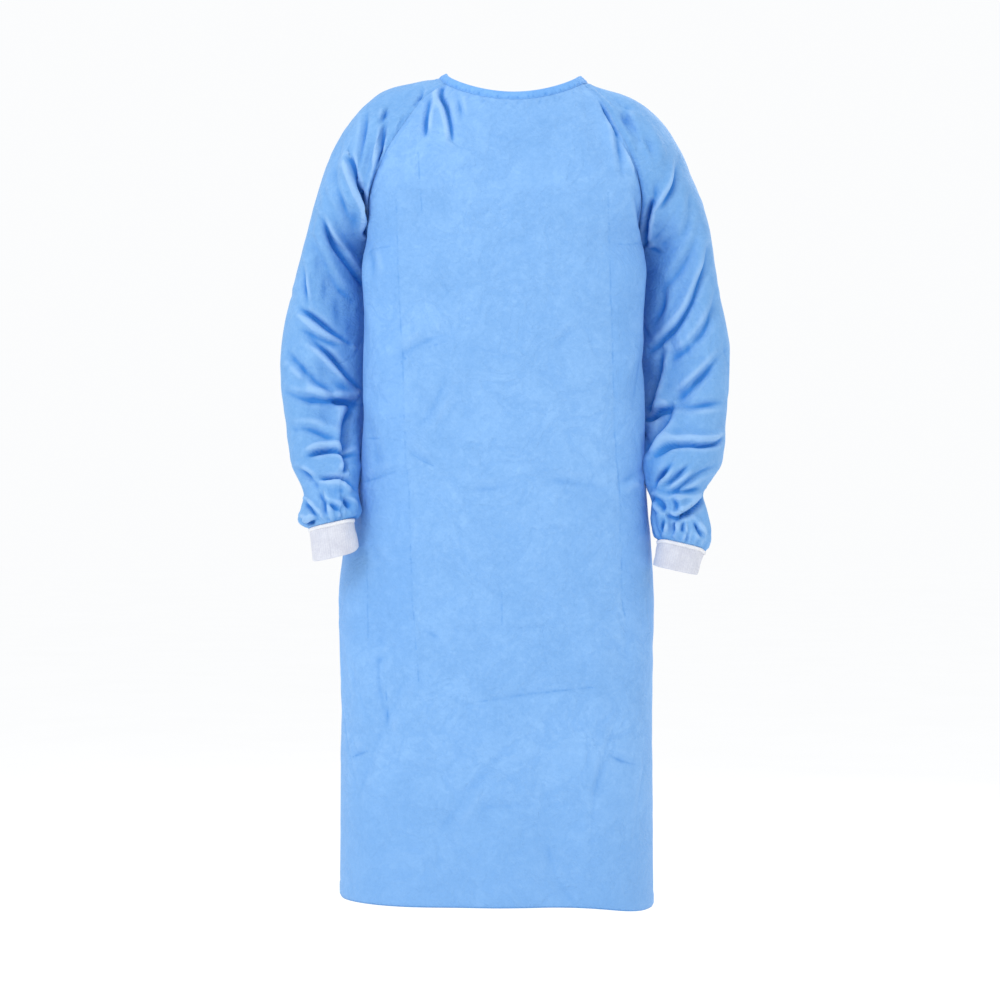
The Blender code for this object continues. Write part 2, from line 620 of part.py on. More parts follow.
def sleeve_panel(side):
    """A sleeve with its largest folds and its gathers, drawn in to meet the cuff."""
    sign = {"left": -1, "right": 1}[side]
    level, points = sleeve_surface(side)
    normals = np.empty_like(points)
    normals[:CAP_ROWS] = normals_of(points)[:CAP_ROWS]
    rings = normals_of(points[CAP_ROWS:, :-1], closed=True)
    normals[CAP_ROWS:, :-1] = rings
    normals[CAP_ROWS:, -1] = rings[:, 0]
    normals *= sign
    push = gather_depth(level, points.shape[1]) - fold_depth(level, points, FOLDS[side])
    push[:CAP_ROWS + 1, 0] = push[:CAP_ROWS + 1, -1] = 0
    push[0] = push[1] = 0
    push[CAP_ROWS:, -1] = push[CAP_ROWS:, 0]
    points = points + normals * push[..., None]
    rings, out = cuff_rings(side, np.array([0.0, 0.2]), SLEEVE_STEPS)
    up = unit((rings[0] - rings[1]).mean(axis=0))
    points[-1] = rings[0] + up * 2 * SEAM_GAP
    normals[-1] = out[0]
    return Panel(points, normals, ring_from=CAP_ROWS)


def neck_lines(panels, sleeves):
    """The neck edge and the collar foot as two lines, from the inner back panel's
    opening edge round the front to the outer one's, with the directions out of the
    cloth there."""
    left, right = panels["back_panel_left"], panels["back_panel_right"]
    runs = [
        (left, slice(None, None, -1)),
        (sleeves["left"], slice(None, None, -3)),
        (panels["front_panel"], slice(None)),
        (sleeves["right"], slice(None, None, 3)),
        (right, slice(None, None, -1)),
    ]
    lines, outs = [], []
    for row in (0, 1):
        points, normals = [], []
        for panel, order in runs:
            own = panel.points[row][order]
            out = unit(panel.normals[row][order])
            if points:
                points[-1] = (points[-1] + own[0]) / 2
                normals[-1] = unit(normals[-1] + out[0])
                own, out = own[1:], out[1:]
            points.extend(own)
            normals.extend(out)
        lines.append(np.array(points))
        outs.append(np.array(normals))
    return lines, outs


def binding_solid(panels, sleeves, material):
    """A folded strip over the neck edge: two leaves and the fold that joins them."""
    (edge, foot), (edge_out, foot_out) = neck_lines(panels, sleeves)
    up = unit(edge - foot)
    clear = CLOTH / 2 + SEAM_GAP
    thick = clear + BINDING
    foot = foot + up * 2 * SEAM_GAP
    section = np.stack([
        foot + foot_out * thick,
        edge + up * (SEAM_GAP + BINDING) + edge_out * thick,
        edge + up * (SEAM_GAP + BINDING) - edge_out * thick,
        foot - foot_out * thick,
        foot - foot_out * clear,
        edge + up * SEAM_GAP - edge_out * clear,
        edge + up * SEAM_GAP + edge_out * clear,
        foot + foot_out * clear,
    ], axis=1)
    return swept("neck_binding", section, material)


def swept(name, sections, material):
    """A solid through a row of sections, each the same number of corners round."""
    count, corners = sections.shape[:2]
    index = np.arange(count * corners).reshape(count, corners)
    after = np.roll(index, -1, axis=1)
    points = sections.reshape(-1, 3)
    faces = []
    for i in range(count - 1):
        for j in range(corners):
            quad = (index[i, j], after[i, j], after[i + 1, j], index[i + 1, j])
            faces += halves(points, quad)
    faces.append(tuple(int(k) for k in index[0][::-1]))
    faces.append(tuple(int(k) for k in index[-1]))
    return solid(name, points, faces, material)


def band_on(panel, row, columns, first, second):
    """Sections of a strip that lies on a panel between two of its rows."""
    upper, lower = panel.points[row, columns], panel.points[row + 1, columns]
    out_upper = unit(panel.normals[row, columns])
    out_lower = unit(panel.normals[row + 1, columns])
    return np.stack([
        upper + out_upper * first,
        upper + out_upper * second,
        lower + out_lower * second,
        lower + out_lower * first,
    ], axis=1)


def tie_solids(panels, material):
    """The two waist ties on the back, the knot, and the loose ends."""
    row = int(sum(BODY_STEPS[:TIE_TOP]))
    left, right = panels["back_panel_left"], panels["back_panel_right"]
    middle = BACK_STEPS // 2
    first = CLOTH / 2 + SEAM_GAP
    second = first + TIE_THICK
    over = right.points.shape[1] - 1 - middle
    on_right = band_on(right, row, np.arange(right.points.shape[1] - 2, over, -1),
                       first, second)
    on_left = band_on(left, row, np.arange(1, middle - OVERLAP_STEPS), first, second)
    across = band_on(right, row, np.arange(0, over), first, second)
    centre = band_on(right, row, np.array([over]), first, second)[0]
    half_knot = KNOT[0] / 2 + SEAM_GAP
    ends = []
    for side in (on_right, across):
        away = (side[-1] - centre) / np.linalg.norm((side[-1] - centre).mean(axis=0))
        ends.append(np.concatenate([side, [centre + away * half_knot]]))
    on_right, across = ends
    swept("waist_tie_right", on_right, material)
    swept("waist_tie_left", np.concatenate([on_left, across]), material)
    return centre.mean(axis=0), over


def knot_solid(place, material):
    """The knot of the waist ties: a small rounded lump."""
    turn = np.linspace(0, 2 * np.pi, 12, endpoint=False)
    rise = np.linspace(-1, 1, 7)
    sections = []
    for r in rise:
        size = math.sqrt(1 - 0.82 * r * r)
        ring = np.stack([
            np.full_like(turn, r * KNOT[0] / 2),
            np.maximum(size * KNOT[1] / 2 * np.sin(turn), -KNOT[1] * 0.3),
            size * KNOT[2] / 2 * np.cos(turn),
        ], axis=1)
        sections.append(ring)
    base = place + np.array([0.0, KNOT[1] * 0.3, 0.0])
    return swept("waist_knot", np.array(sections) + base, material)


def loose_end(name, panel, place, column, lean, drop, material):
    """A tie's loose end, which hangs from the knot down the outside of the back."""
    z = np.linspace(place[2] - KNOT[2] / 2 - SEAM_GAP, place[2] - drop, 6)
    share = np.linspace(0, 1, len(z))
    column_z = panel.points[:, column, 2][::-1]
    y = np.interp(z, column_z, panel.points[:, column, 1][::-1])
    x = place[0] + lean[0] + lean[1] * share
    stand = 0.0028 + 0.0036 * (1 - share) ** 3 + 0.0020 * np.sin(np.pi * share)
    thick = TIE_THICK
    half = TIE_WIDTH / 2 * (0.45 + 0.55 * np.clip(share * 3, 0, 1))
    sections = np.stack([
        np.stack([x - half, y + stand, z], axis=1),
        np.stack([x + half, y + stand, z], axis=1),
        np.stack([x + half, y + stand + thick, z], axis=1),
        np.stack([x - half, y + stand + thick, z], axis=1),
    ], axis=1)
    return swept(name, sections, material)


def neck_tab(panels, material):
    """The tab that closes the neck, on the outer back panel below its binding."""
    right = panels["back_panel_right"]
    first = CLOTH / 2 + SEAM_GAP
    columns = np.arange(0, 4)
    sections = band_on(right, COLLAR_FOOT, columns, first, first + 0.0016)
    upper = (sections[:, :2] + 0.08 * (sections[:, 3:1:-1] - sections[:, :2]))
    lower = sections[:, :2] + 0.92 * (sections[:, 3:1:-1] - sections[:, :2])
    sections = np.stack([upper[:, 0], upper[:, 1], lower[:, 1], lower[:, 0]], axis=1)
    return swept("neck_tab", sections, material)


def build():
    for old in list(bpy.data.objects):
        bpy.data.objects.remove(old)
    cloth = finish_of("cloth_blue", CLOTH_BLUE, 0.75)
    knit = finish_of("knit_white", KNIT_WHITE, 0.9)
    panels = body_panels()
    sleeves = {side: sleeve_panel(side) for side in ("left", "right")}
    join_body(panels, sleeves)
    for name, panel in panels.items():
        panel.mesh(name, cloth)
    for side, sleeve in sleeves.items():
        sleeve.mesh(f"sleeve_{side}", cloth)
        cuff_panel(side).mesh(f"cuff_{side}", knit, KNIT)
    binding_solid(panels, sleeves, cloth)
    neck_tab(panels, cloth)
    place, over = tie_solids(panels, cloth)
    knot_solid(place, cloth)
    right = panels["back_panel_right"]
    loose_end("tie_end_left", right, place, over, (-0.0062, -0.032), 0.21, cloth)
    loose_end("tie_end_right", right, place, over, (0.0062, 0.036), 0.23, cloth)


build()
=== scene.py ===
"""An isolation gown as it is worn: blue non-woven cloth with white knitted cuffs.

The gown hangs upright with its front towards -Y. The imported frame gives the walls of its
panels; each wall's outer skin becomes a fine cloth shell with its creases and seams.
"""

import math

import bmesh
import bpy
import numpy as np
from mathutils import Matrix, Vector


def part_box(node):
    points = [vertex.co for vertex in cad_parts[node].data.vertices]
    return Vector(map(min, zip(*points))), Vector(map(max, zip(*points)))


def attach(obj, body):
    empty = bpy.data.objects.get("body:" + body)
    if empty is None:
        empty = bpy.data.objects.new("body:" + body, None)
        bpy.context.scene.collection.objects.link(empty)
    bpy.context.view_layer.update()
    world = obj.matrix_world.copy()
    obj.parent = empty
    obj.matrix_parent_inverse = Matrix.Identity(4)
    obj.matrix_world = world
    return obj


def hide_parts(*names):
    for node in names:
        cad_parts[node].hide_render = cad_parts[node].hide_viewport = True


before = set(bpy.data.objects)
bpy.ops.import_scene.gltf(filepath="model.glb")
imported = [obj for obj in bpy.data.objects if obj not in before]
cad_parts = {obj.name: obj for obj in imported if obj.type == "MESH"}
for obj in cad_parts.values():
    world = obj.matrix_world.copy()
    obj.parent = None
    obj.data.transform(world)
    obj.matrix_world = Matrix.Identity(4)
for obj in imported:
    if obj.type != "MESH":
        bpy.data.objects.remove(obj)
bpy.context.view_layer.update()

# The camera stands level in front of the gown, four metres away, halfway down its length.
CAMERA = np.array([-0.0086, -4.0, -0.607])
PIXEL = 0.001437  # metres of the gown's middle plane in one pixel of the photograph

camera_data = bpy.data.cameras.new("camera")
camera_data.lens = 36 * -CAMERA[1] / (1000 * PIXEL)
camera = bpy.data.objects.new("camera", camera_data)
camera.location = CAMERA
camera.rotation_euler = (math.pi / 2, 0, 0)
bpy.context.scene.collection.objects.link(camera)
bpy.context.scene.camera = camera
bpy.context.scene.view_settings.view_transform = "Standard"
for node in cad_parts.values():
    node.select_set(False)

# The cloth panels: a front, two backs that overlap, and two raglan sleeves, all cut from
# one light blue non-woven cloth and sewn together along plain seams. A panel's points are
# read from the outer skin of its CAD wall, as rows that run from the neck down.
SHELL = 0.0005  # thickness of the cloth as it is shown
SEAM_OVER = 0.0005  # how far a sewn edge runs over its seam
SAME_SKIN = 0.62  # the least cosine between neighbouring faces of one skin
CAP_ROW = 10  # the row where a sleeve's two edges meet under the arm
FRONT_NECK = [(-0.081, -0.022, -0.004), (0.103, -0.022, -0.004)]
LEFT_NECK = [(-0.081, -0.022, -0.004), (-0.077, 0.040, -0.004)]
RIGHT_NECK = [(0.103, -0.022, -0.004), (0.099, 0.040, -0.004)]


def outer_skin(node):
    """The outer triangles of a wall of cloth, with its merged points. The inner skin is
    told from the outer one by which way its faces look from the middle of the wall."""
    shape = bmesh.new()
    shape.from_mesh(node.data)
    bmesh.ops.remove_doubles(shape, verts=shape.verts, dist=1e-6)
    shape.faces.ensure_lookup_table()
    shape.verts.ensure_lookup_table()
    places = np.array([v.co for v in shape.verts])
    middle = places.mean(axis=0)
    group = {}
    found = []
    for face in shape.faces:
        if face in group:
            continue
        group[face] = len(found)
        stack, mine = [face], []
        while stack:
            one = stack.pop()
            mine.append(one)
            for edge in one.edges:
                for other in edge.link_faces:
                    if other not in group and one.normal.dot(other.normal) > SAME_SKIN:
                        group[other] = len(found)
                        stack.append(other)
        found.append(mine)
    found.sort(key=len, reverse=True)
    inner = set()
    for mine in found[:4]:
        looks = sum(f.calc_area() * (np.array(f.calc_center_median()) - middle)
                    .dot(np.array(f.normal)) for f in mine)
        if looks < 0 and len(mine) > 100:
            inner.update(v.index for f in mine for v in f.verts)
    triangles = [tuple(v.index for v in f.verts) for f in shape.faces]
    shape.free()
    return places, [t for t in triangles if not inner.intersection(t)]


def across_edges(triangles):
    """For each edge of the skin, the third points of the triangles on it."""
    thirds = {}
    for a, b, c in triangles:
        for p, q, r in ((a, b, c), (b, c, a), (c, a, b)):
            thirds.setdefault(frozenset((p, q)), []).append(r)
    return thirds


def border_walk(border, places, first, last, count):
    """The points of the border from one corner to the other in so many steps."""
    start, end = (min(border, key=lambda i: np.linalg.norm(places[i] - place))
                  for place in (first, last))
    for way in border[start]:
        row = [start, way]
        while row[-1] != end and len(row) <= count:
            row.append(next(i for i in border[row[-1]] if i != row[-2]))
        if len(row) == count and row[-1] == end:
            return row
    raise ValueError("the edge of a panel is not as long as it should be")


def row_below(row, first, thirds, above):
    """The next row of points, from its first point, or None if that one is wrong."""
    below = [first]
    for a, b in zip(row, row[1:]):
        near = [t for t in thirds[frozenset((a, b))] if t not in above]
        if not near:
            return None
        if near[0] == below[-1]:
            near = [t for t in thirds.get(frozenset((b, below[-1])), ()) if t != a]
            if not near:
                return None
        below.append(near[0])
    return None if set(below) & set(row) else below


def panel_rows(name, corners, count, closes=False):
    """A panel's points as a grid: its rows from the neck down, each across the cloth."""
    places, triangles = outer_skin(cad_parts[name])
    thirds = across_edges(triangles)
    border = {}
    for edge, points in thirds.items():
        if len(points) == 1:
            a, b = edge
            border.setdefault(a, []).append(b)
            border.setdefault(b, []).append(a)
    rows = [border_walk(border, places, *map(np.array, corners), count)]
    above = set()
    total = len({i for t in triangles for i in t})
    while len({i for row in rows for i in row}) < total:
        row, seen = rows[-1], {i for r in rows[-2:] for i in r}
        if closes and row[0] == row[-1]:
            near = {i for pair in thirds if row[0] in pair for i in pair} - seen
            tries = [row_below(row, i, thirds, above) for i in sorted(near)]
            tries = [t for t in tries if t and t[0] == t[-1]]
            below = min(tries, key=lambda t: np.linalg.norm(
                places[t] - places[row], axis=1).sum())
        else:
            first = [i for i in border[row[0]] if i not in seen]
            below = row_below(row, first[0], thirds, above | set(row))
        above = set(row)
        rows.append(below)
    return places[np.array(rows)]


def spline(points, steps, corner=None, rings=None, denser=0.0):
    """Points of smooth curves through the first axis of an array. A curve turns sharply
    at the corner, which is a row's number and where across the rows it counts, and the
    curves of the rings run on from their end to their start. The points lie closer
    together a quarter of the way along, by this share."""
    slope = np.gradient(points, axis=0)
    if rings is not None:
        slope[0, rings] = slope[-1, rings] = (points[1, rings] - points[-2, rings]) / 2
    leaving, arriving = slope.copy(), slope.copy()
    if corner is not None:
        row, share = corner
        share = share[:, None]
        for given, own in ((arriving, points[row] - points[row - 1]),
                           (leaving, points[row + 1] - points[row])):
            given[row] = given[row] * (1 - share) + own * share
    even = np.linspace(0, 1, steps + 1)
    even -= denser / (2 * np.pi) * (np.sin(2 * np.pi * (even - 0.25)) + 1)
    place = even * (len(points) - 1)
    i = np.clip(place.astype(int), 0, len(points) - 2)
    t = (place - i).reshape((-1,) + (1,) * (points.ndim - 1))
    return ((2 * t**3 - 3 * t**2 + 1) * points[i] + (t**3 - 2 * t**2 + t) * leaving[i]
            + (3 * t**2 - 2 * t**3) * points[i + 1] + (t**3 - t**2) * arriving[i + 1])


def even_rows(points, steps, corner):
    """The points that spline gives, with the new rows spread evenly along the cloth, and
    for each new row its place among the old ones."""
    fine = spline(points, 8 * (len(points) - 1), corner)
    length = np.linalg.norm(np.diff(fine, axis=0), axis=-1).mean(axis=1)
    run = np.concatenate([[0], np.cumsum(length)])
    place = np.interp(np.linspace(0, run[-1], steps + 1), run, np.arange(len(run)))
    mark = np.abs(place - 8 * CAP_ROW).argmin()
    place[mark] = 8 * CAP_ROW
    i = np.minimum(place.astype(int), len(fine) - 2)
    t = (place - i)[:, None, None]
    return fine[i] * (1 - t) + fine[i + 1] * t, place / 8


class Cloth:
    """A fine grid of points on a panel, with its size along the cloth in metres."""

    def __init__(self, name, corners, count, across, down, closes=False):
        self.name = name
        rows = panel_rows(name, corners, count, closes)
        edge = np.zeros(count)
        edge[[0, -1]] = 1
        if name == "back_panel_left":
            edge[-1] = 0
        if name == "back_panel_right":
            edge[0] = 0
        points, self.row = even_rows(rows, down, (CAP_ROW, edge))
        self.rings = self.row >= CAP_ROW if closes else self.row < 0
        turned = spline(np.swapaxes(points, 0, 1), across, rings=self.rings,
                        denser=0.4 if closes else 0.0)
        self.points = np.swapaxes(turned, 0, 1)
        self.measure()

    def measure(self):
        """Sizes along the cloth and the directions out of it, from the points."""
        points = self.points
        wide = np.linalg.norm(np.diff(points, axis=1), axis=-1)
        deep = np.linalg.norm(np.diff(points, axis=0), axis=-1)
        self.u = np.hstack([np.zeros((len(points), 1)), np.cumsum(wide, axis=1)])
        self.v = np.vstack([np.zeros((1, points.shape[1])), np.cumsum(deep, axis=0)])
        self.share = self.u / self.u[:, -1:]
        self.from_edge = np.minimum(self.u, self.u[:, -1:] - self.u)
        self.from_edge[self.rings] = 1.0
        along = np.gradient(points, axis=1)
        turn = (points[self.rings, 1] - points[self.rings, -2]) / 2
        along[self.rings, 0] = along[self.rings, -1] = turn
        normal = np.cross(np.gradient(points, axis=0), along)
        normal /= np.maximum(np.linalg.norm(normal, axis=-1, keepdims=True), 1e-12)
        middle = points.reshape(-1, 3).mean(axis=0)
        way = ((points - middle) * normal).sum()
        self.normals = normal if way > 0 else -normal

    def seen(self):
        """Where the points show in the photograph, in pixels from its upper left."""
        depth = PIXEL * (self.points[..., 1] - CAMERA[1]) / -CAMERA[1]
        x = 500 + (self.points[..., 0] - CAMERA[0]) / depth
        y = 500 - (self.points[..., 2] - CAMERA[2]) / depth
        return np.stack([x, y], axis=-1)

    def faces(self, way):
        """1 where the cloth faces the front, for -1, or the back, for 1, and 0 from its
        outline on, as someone in front of the gown sees it."""
        return smooth(0.02, 0.45, way * self.normals[..., 1])


def smooth(low, high, value):
    """0 at low and beyond, 1 at high and beyond, and a soft step between them."""
    t = np.clip((value - low) / (high - low), 0, 1)
    return t * t * (3 - 2 * t)


def bell(value, width):
    """1 at nothing, and less and less on both sides of it, over about this width."""
    return np.exp(-((value / width) ** 2))


def two_waves(place, first, second, share, start):
    """An uneven wave: one of the first length, and a share of one of the second."""
    place = 2 * np.pi * place
    return np.sin(place / first) + share * np.sin(place / second + start)


def curve_through(points, steps=10):
    """A smooth line through a few points of a plane."""
    points = np.array(points, float)
    return spline(points, steps * (len(points) - 1)) if len(points) > 2 else spline(
        points, 8)


def crease(off, width):
    """The cross-section of a crease, 1 in its middle and a little sharper there."""
    return 0.7 * bell(off, width) + 0.3 * bell(off, 0.6 * width)


def fold_field(flat, folds, unit, strength=1.0, broad=1.0):
    """What folds do to points that lie at these places of a plane. Each fold has its
    line, its depth and half width in millimetres, and the share of its depth of the
    ridge beside it: on the right of a line that runs down if it is positive. Gives how
    far each point is pushed out, and how far it slides along the plane, in metres."""
    push = np.zeros(flat.shape[:-1])
    slide = np.zeros(flat.shape)
    for order, (points, depth, width, ridge) in enumerate(folds):
        line = curve_through(points)
        depth, width = strength * depth / 1000, broad * width / 1000 / unit
        near = ((flat > line.min(axis=0) - 4 * width)
                & (flat < line.max(axis=0) + 4 * width)).all(axis=-1)
        if not near.any():
            continue
        start, step = line[:-1], np.diff(line, axis=0)
        size = np.linalg.norm(step, axis=1)
        away = flat[near][:, None] - start
        share = np.clip((away * step).sum(-1) / size**2, 0, 1)
        gap = away - share[..., None] * step
        far = np.linalg.norm(gap, axis=-1)
        best = far.argmin(axis=1)
        one = np.arange(len(best))
        run = np.concatenate([[0], np.cumsum(size)])
        t = (run[best] + share[one, best] * size[best]) / run[-1]
        right = np.stack([step[best, 1], -step[best, 0]], axis=1) / size[best][:, None]
        side = np.sign((gap[one, best] * right).sum(-1))
        off = far[one, best] * side
        fade = np.sin(np.pi * (0.05 + 0.90 * t)) ** 0.8
        fade *= 1 + 0.2 * np.sin(7 * t + 2.3 * order)
        way = np.sign(ridge) if ridge else 1.0
        crest = abs(ridge) * bell(off * way - 1.7 * width, 1.1 * width)
        push[near] += depth * fade * (crest - crease(off, width))
        lean = 0.45 * max(depth - 0.004, 0) * fade * crest
        slide[near] -= (lean * way)[:, None] * right
    return push, slide


def tilted_waves(u, v, seed, longest, shortest, count):
    """Uneven soft waves over the cloth, about 1 high, from waves in many directions."""
    pick = np.random.default_rng(seed)
    total = np.zeros_like(u)
    for _ in range(count):
        length = longest * (shortest / longest) ** pick.random()
        turn, start = pick.random(2) * 2 * np.pi
        bend = 0.35 * length * np.sin((u * np.sin(turn) - v * np.cos(turn)) / length * 2)
        run = (u * np.cos(turn) + v * np.sin(turn) + bend) / length
        total += np.sin(2 * np.pi * run + start) * (length / longest) ** 0.7
    return total / math.sqrt(count)


def loose_creases(cloth, seed, count, depth, reach=(0.04, 0.16), lean=(0.9, 0.5)):
    """Small creases scattered over a panel: each is a short line along the cloth, mostly
    at the angle lean gives, from straight across, with its spread."""
    pick = np.random.default_rng(seed)
    found = []
    for _ in range(count):
        row = pick.integers(6, len(cloth.u) - 6)
        across, down = pick.random() * cloth.u[row, -1], cloth.v[row].mean()
        turn = pick.normal(*lean) * pick.choice([-1, 1])
        half = pick.uniform(*reach) / 2
        way = np.array([math.cos(turn), math.sin(turn)]) * half
        bow = np.array([-way[1], way[0]]) * pick.uniform(-0.25, 0.25)
        place = np.array([across, down])
        found.append(([place - way, place + bow, place + way],
                      depth * pick.uniform(0.4, 1.3), pick.uniform(3.5, 8.0),
                      pick.uniform(0.3, 0.8) * pick.choice([-1, 1])))
    return fold_field(np.stack([cloth.u, cloth.v], axis=-1), found, 1.0)[0]


def sewn_edges(cloth, puckers, seed):
    """The pull of the seams along the two sides: a narrow dip with small puckers."""
    away = cloth.from_edge
    pick = np.random.default_rng(seed)
    beat = cloth.v + 0.003 * np.sin(cloth.v * 61 + pick.random() * 6)
    wave = two_waves(beat, 0.013, 0.031, 0.6, 1)
    near = bell(away, 0.011) * (1 - bell(away, 0.0025))
    return puckers * wave * near - 0.0003 * bell(away, 0.0026)


def held_at_edges(cloth, push, width=0.008):
    """Folds die out where the cloth is sewn down, at its sides and at the neck."""
    hold = smooth(0, width, cloth.from_edge) * smooth(0.010, 0.020, cloth.v)
    return push * (hold if push.ndim == 2 else hold[..., None])


NECK_PUCKER = 0.0006  # how far the cloth puckers below the binding


def neck_puckers(cloth, seed):
    """Short upright puckers just below the binding, which draws the neck edge in."""
    pick = np.random.default_rng(seed)
    beat = cloth.u + 0.0022 * np.sin(cloth.u * 190 + pick.random() * 6)
    wave = two_waves(beat, 0.0105, 0.0173, 0.7, 1)
    near = smooth(0.0130, 0.0165, cloth.v) * bell(cloth.v - 0.0155, 0.0085)
    return NECK_PUCKER * wave * near


def cloth_piece(cloth, points, shade_and_marks, finish):
    """The finished shell of a panel, cut to the flat size. Its cloth carries its own size
    along it as its UV map, the distance from the nearest seam, and how deep each point
    lies in a fold, as painted shade, with a painted highlight on the fold crests. Its sewn
    edges run a little over the seam, so that none gapes."""
    rows, columns = points.shape[:2]
    for edge, inner in ((0, 1), (-1, -2)):
        over = points[:, edge] - points[:, inner]
        over *= SEAM_OVER / np.linalg.norm(over, axis=1, keepdims=True)
        points[~cloth.rings, edge] += over[~cloth.rings]
    index = np.arange(rows * columns).reshape(rows, columns)
    index[cloth.rings, -1] = index[cloth.rings, 0]
    quads = np.stack([index[:-1, :-1], index[1:, :-1], index[1:, 1:], index[:-1, 1:]],
                     axis=-1).reshape(-1, 4)
    plain = np.arange(rows * columns).reshape(rows, columns)
    loops = np.stack([plain[:-1, :-1], plain[1:, :-1], plain[1:, 1:], plain[:-1, 1:]],
                     axis=-1).reshape(-1, 4)
    flat = points.reshape(-1, 3)
    one = quads[len(quads) // 2]
    own = np.cross(flat[one[1]] - flat[one[0]], flat[one[3]] - flat[one[0]])
    if own.dot(cloth.normals.reshape(-1, 3)[one[0]]) < 0:
        quads, loops = quads[:, ::-1], loops[:, ::-1]
    used = np.unique(quads)
    renumber = np.zeros(rows * columns, int)
    renumber[used] = np.arange(len(used))
    mesh = bpy.data.meshes.new(cloth.name + "_cloth")
    mesh.from_pydata(flat[used].tolist(), [], renumber[quads].tolist())
    uv = mesh.uv_layers.new(name="cloth")
    places = np.stack([cloth.u.ravel(), cloth.v.ravel()], axis=1)[loops.ravel()]
    uv.data.foreach_set("uv", places.ravel())
    edge = np.minimum(cloth.from_edge, 0.03)
    for name, values in {"seam": edge, **shade_and_marks}.items():
        layer = mesh.attributes.new(name, "FLOAT", "POINT")
        layer.data.foreach_set("value", values.ravel()[used])
    piece = bpy.data.objects.new(cloth.name + "_cloth", mesh)
    bpy.context.scene.collection.objects.link(piece)
    mesh.materials.append(finish)
    thicken = piece.modifiers.new("thickness", "SOLIDIFY")
    thicken.thickness = SHELL
    thicken.offset = -1
    apply_all(piece)
    piece.data.shade_smooth()
    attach(piece, "root")
    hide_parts(cloth.name)
    return piece


def apply_all(piece):
    """Applies a piece's modifiers."""
    bpy.context.view_layer.objects.active = piece
    for modifier in list(piece.modifiers):
        bpy.ops.object.modifier_apply(modifier=modifier.name)


class Value:
    """A number that varies over a surface, with the maths of plain numbers."""

    def __init__(self, finish, socket):
        self.finish, self.socket = finish, socket

    def maths(self, operation, *values):
        inputs = dict(enumerate(values))
        return self.finish.node("ShaderNodeMath", {"operation": operation}, inputs)

    def __add__(self, other):
        return self.maths("ADD", self, other)

    def __radd__(self, other):
        return self.maths("ADD", other, self)

    def __sub__(self, other):
        return self.maths("SUBTRACT", self, other)

    def __rsub__(self, other):
        return self.maths("SUBTRACT", other, self)

    def __mul__(self, other):
        return self.maths("MULTIPLY", self, other)

    def __neg__(self):
        return self.maths("MULTIPLY", self, -1.0)

    def sine(self):
        return self.maths("SINE", self)

    def size(self):
        return self.maths("ABSOLUTE", self)

    def step(self, low, high):
        """0 at low and 1 at high, softly."""
        inputs = {"Value": self, "From Min": low, "From Max": high}
        return self.finish.node("ShaderNodeMapRange", {"interpolation_type": "SMOOTHSTEP"},
                                inputs)


class Finish:
    """A material in the making, with one shader and the nodes that feed it."""

    def __init__(self, name, **constants):
        self.material = bpy.data.materials.new(name)
        self.material.use_nodes = True
        self.tree = self.material.node_tree
        self.shader = self.tree.nodes["Principled BSDF"]
        for socket, value in constants.items():
            self.shader.inputs[socket.replace("_", " ")].default_value = value

    def feed(self, socket, value):
        if isinstance(value, Value):
            self.tree.links.new(value.socket, socket)
        else:
            socket.default_value = value

    def node(self, kind, settings=None, inputs=None, output=0):
        made = self.tree.nodes.new(kind)
        for name, value in (settings or {}).items():
            setattr(made, name, value)
        for name, value in (inputs or {}).items():
            self.feed(made.inputs[name], value)
        return Value(self, made.outputs[output])

    def place(self):
        return self.node("ShaderNodeTexCoord", output="Object")

    def uv(self):
        """The place along the cloth, in metres, as two values."""
        both = self.node("ShaderNodeUVMap", {"uv_map": "cloth"})
        parts = self.node("ShaderNodeSeparateXYZ", None, {0: both}).socket.node.outputs
        return Value(self, parts[0]), Value(self, parts[1])

    def shade_and_marks(self, name):
        return self.node("ShaderNodeAttribute", {"attribute_name": name}, output="Fac")

    def noise(self, where, scale, detail=2.0, rough=0.5, warp=0.0):
        inputs = {"Vector": where, "Scale": scale, "Detail": detail, "Roughness": rough,
                  "Distortion": warp}
        return self.node("ShaderNodeTexNoise", None, inputs)

    def mix(self, factor, a, b):
        inputs = {0: factor, 6: a, 7: b}
        return self.node("ShaderNodeMix", {"data_type": "RGBA"}, inputs, output=2)

    def bump(self, height, distance, strength=1.0, normal=None):
        inputs = {"Height": height, "Distance": distance, "Strength": strength}
        if normal is not None:
            inputs["Normal"] = normal
        return self.node("ShaderNodeBump", None, inputs)

    def paint(self, colour, normal=None, roughness=None):
        self.feed(self.shader.inputs["Base Color"], colour)
        if normal is not None:
            self.feed(self.shader.inputs["Normal"], normal)
        if roughness is not None:
            self.feed(self.shader.inputs["Roughness"], roughness)
        return self.material


def colour(red, green, blue):
    """A colour given from 0 to 255, as the shader takes it."""
    return tuple((c / 12.92 if c <= 0.04045 else ((c + 0.055) / 1.055) ** 2.4)
                 for c in (red / 255, green / 255, blue / 255)) + (1.0,)


# The non-woven cloth is spun-bonded: loose fibres in all directions, welded by a fine
# grid of points. It is mottled, a little shiny, and a stronger blue where it lies double.
# Its deepest blue is also laid into folds and crinkles as painted shade, and a lighter
# blue onto fold crests as a painted highlight.
CLOTH_LIGHT = colour(147, 195, 247)
CLOTH_MID = colour(115, 168, 227)
CLOTH_DEEP = colour(8, 122, 210)
# A lighter blue for the painted highlight on fold crests.
CLOTH_CREST_HIGHLIGHT = colour(178, 214, 253)
CLOTH_SIDE_SHADE = colour(94, 160, 236)  # painted shade on the front's sides, where they turn away
BOND_PITCH = 0.0016


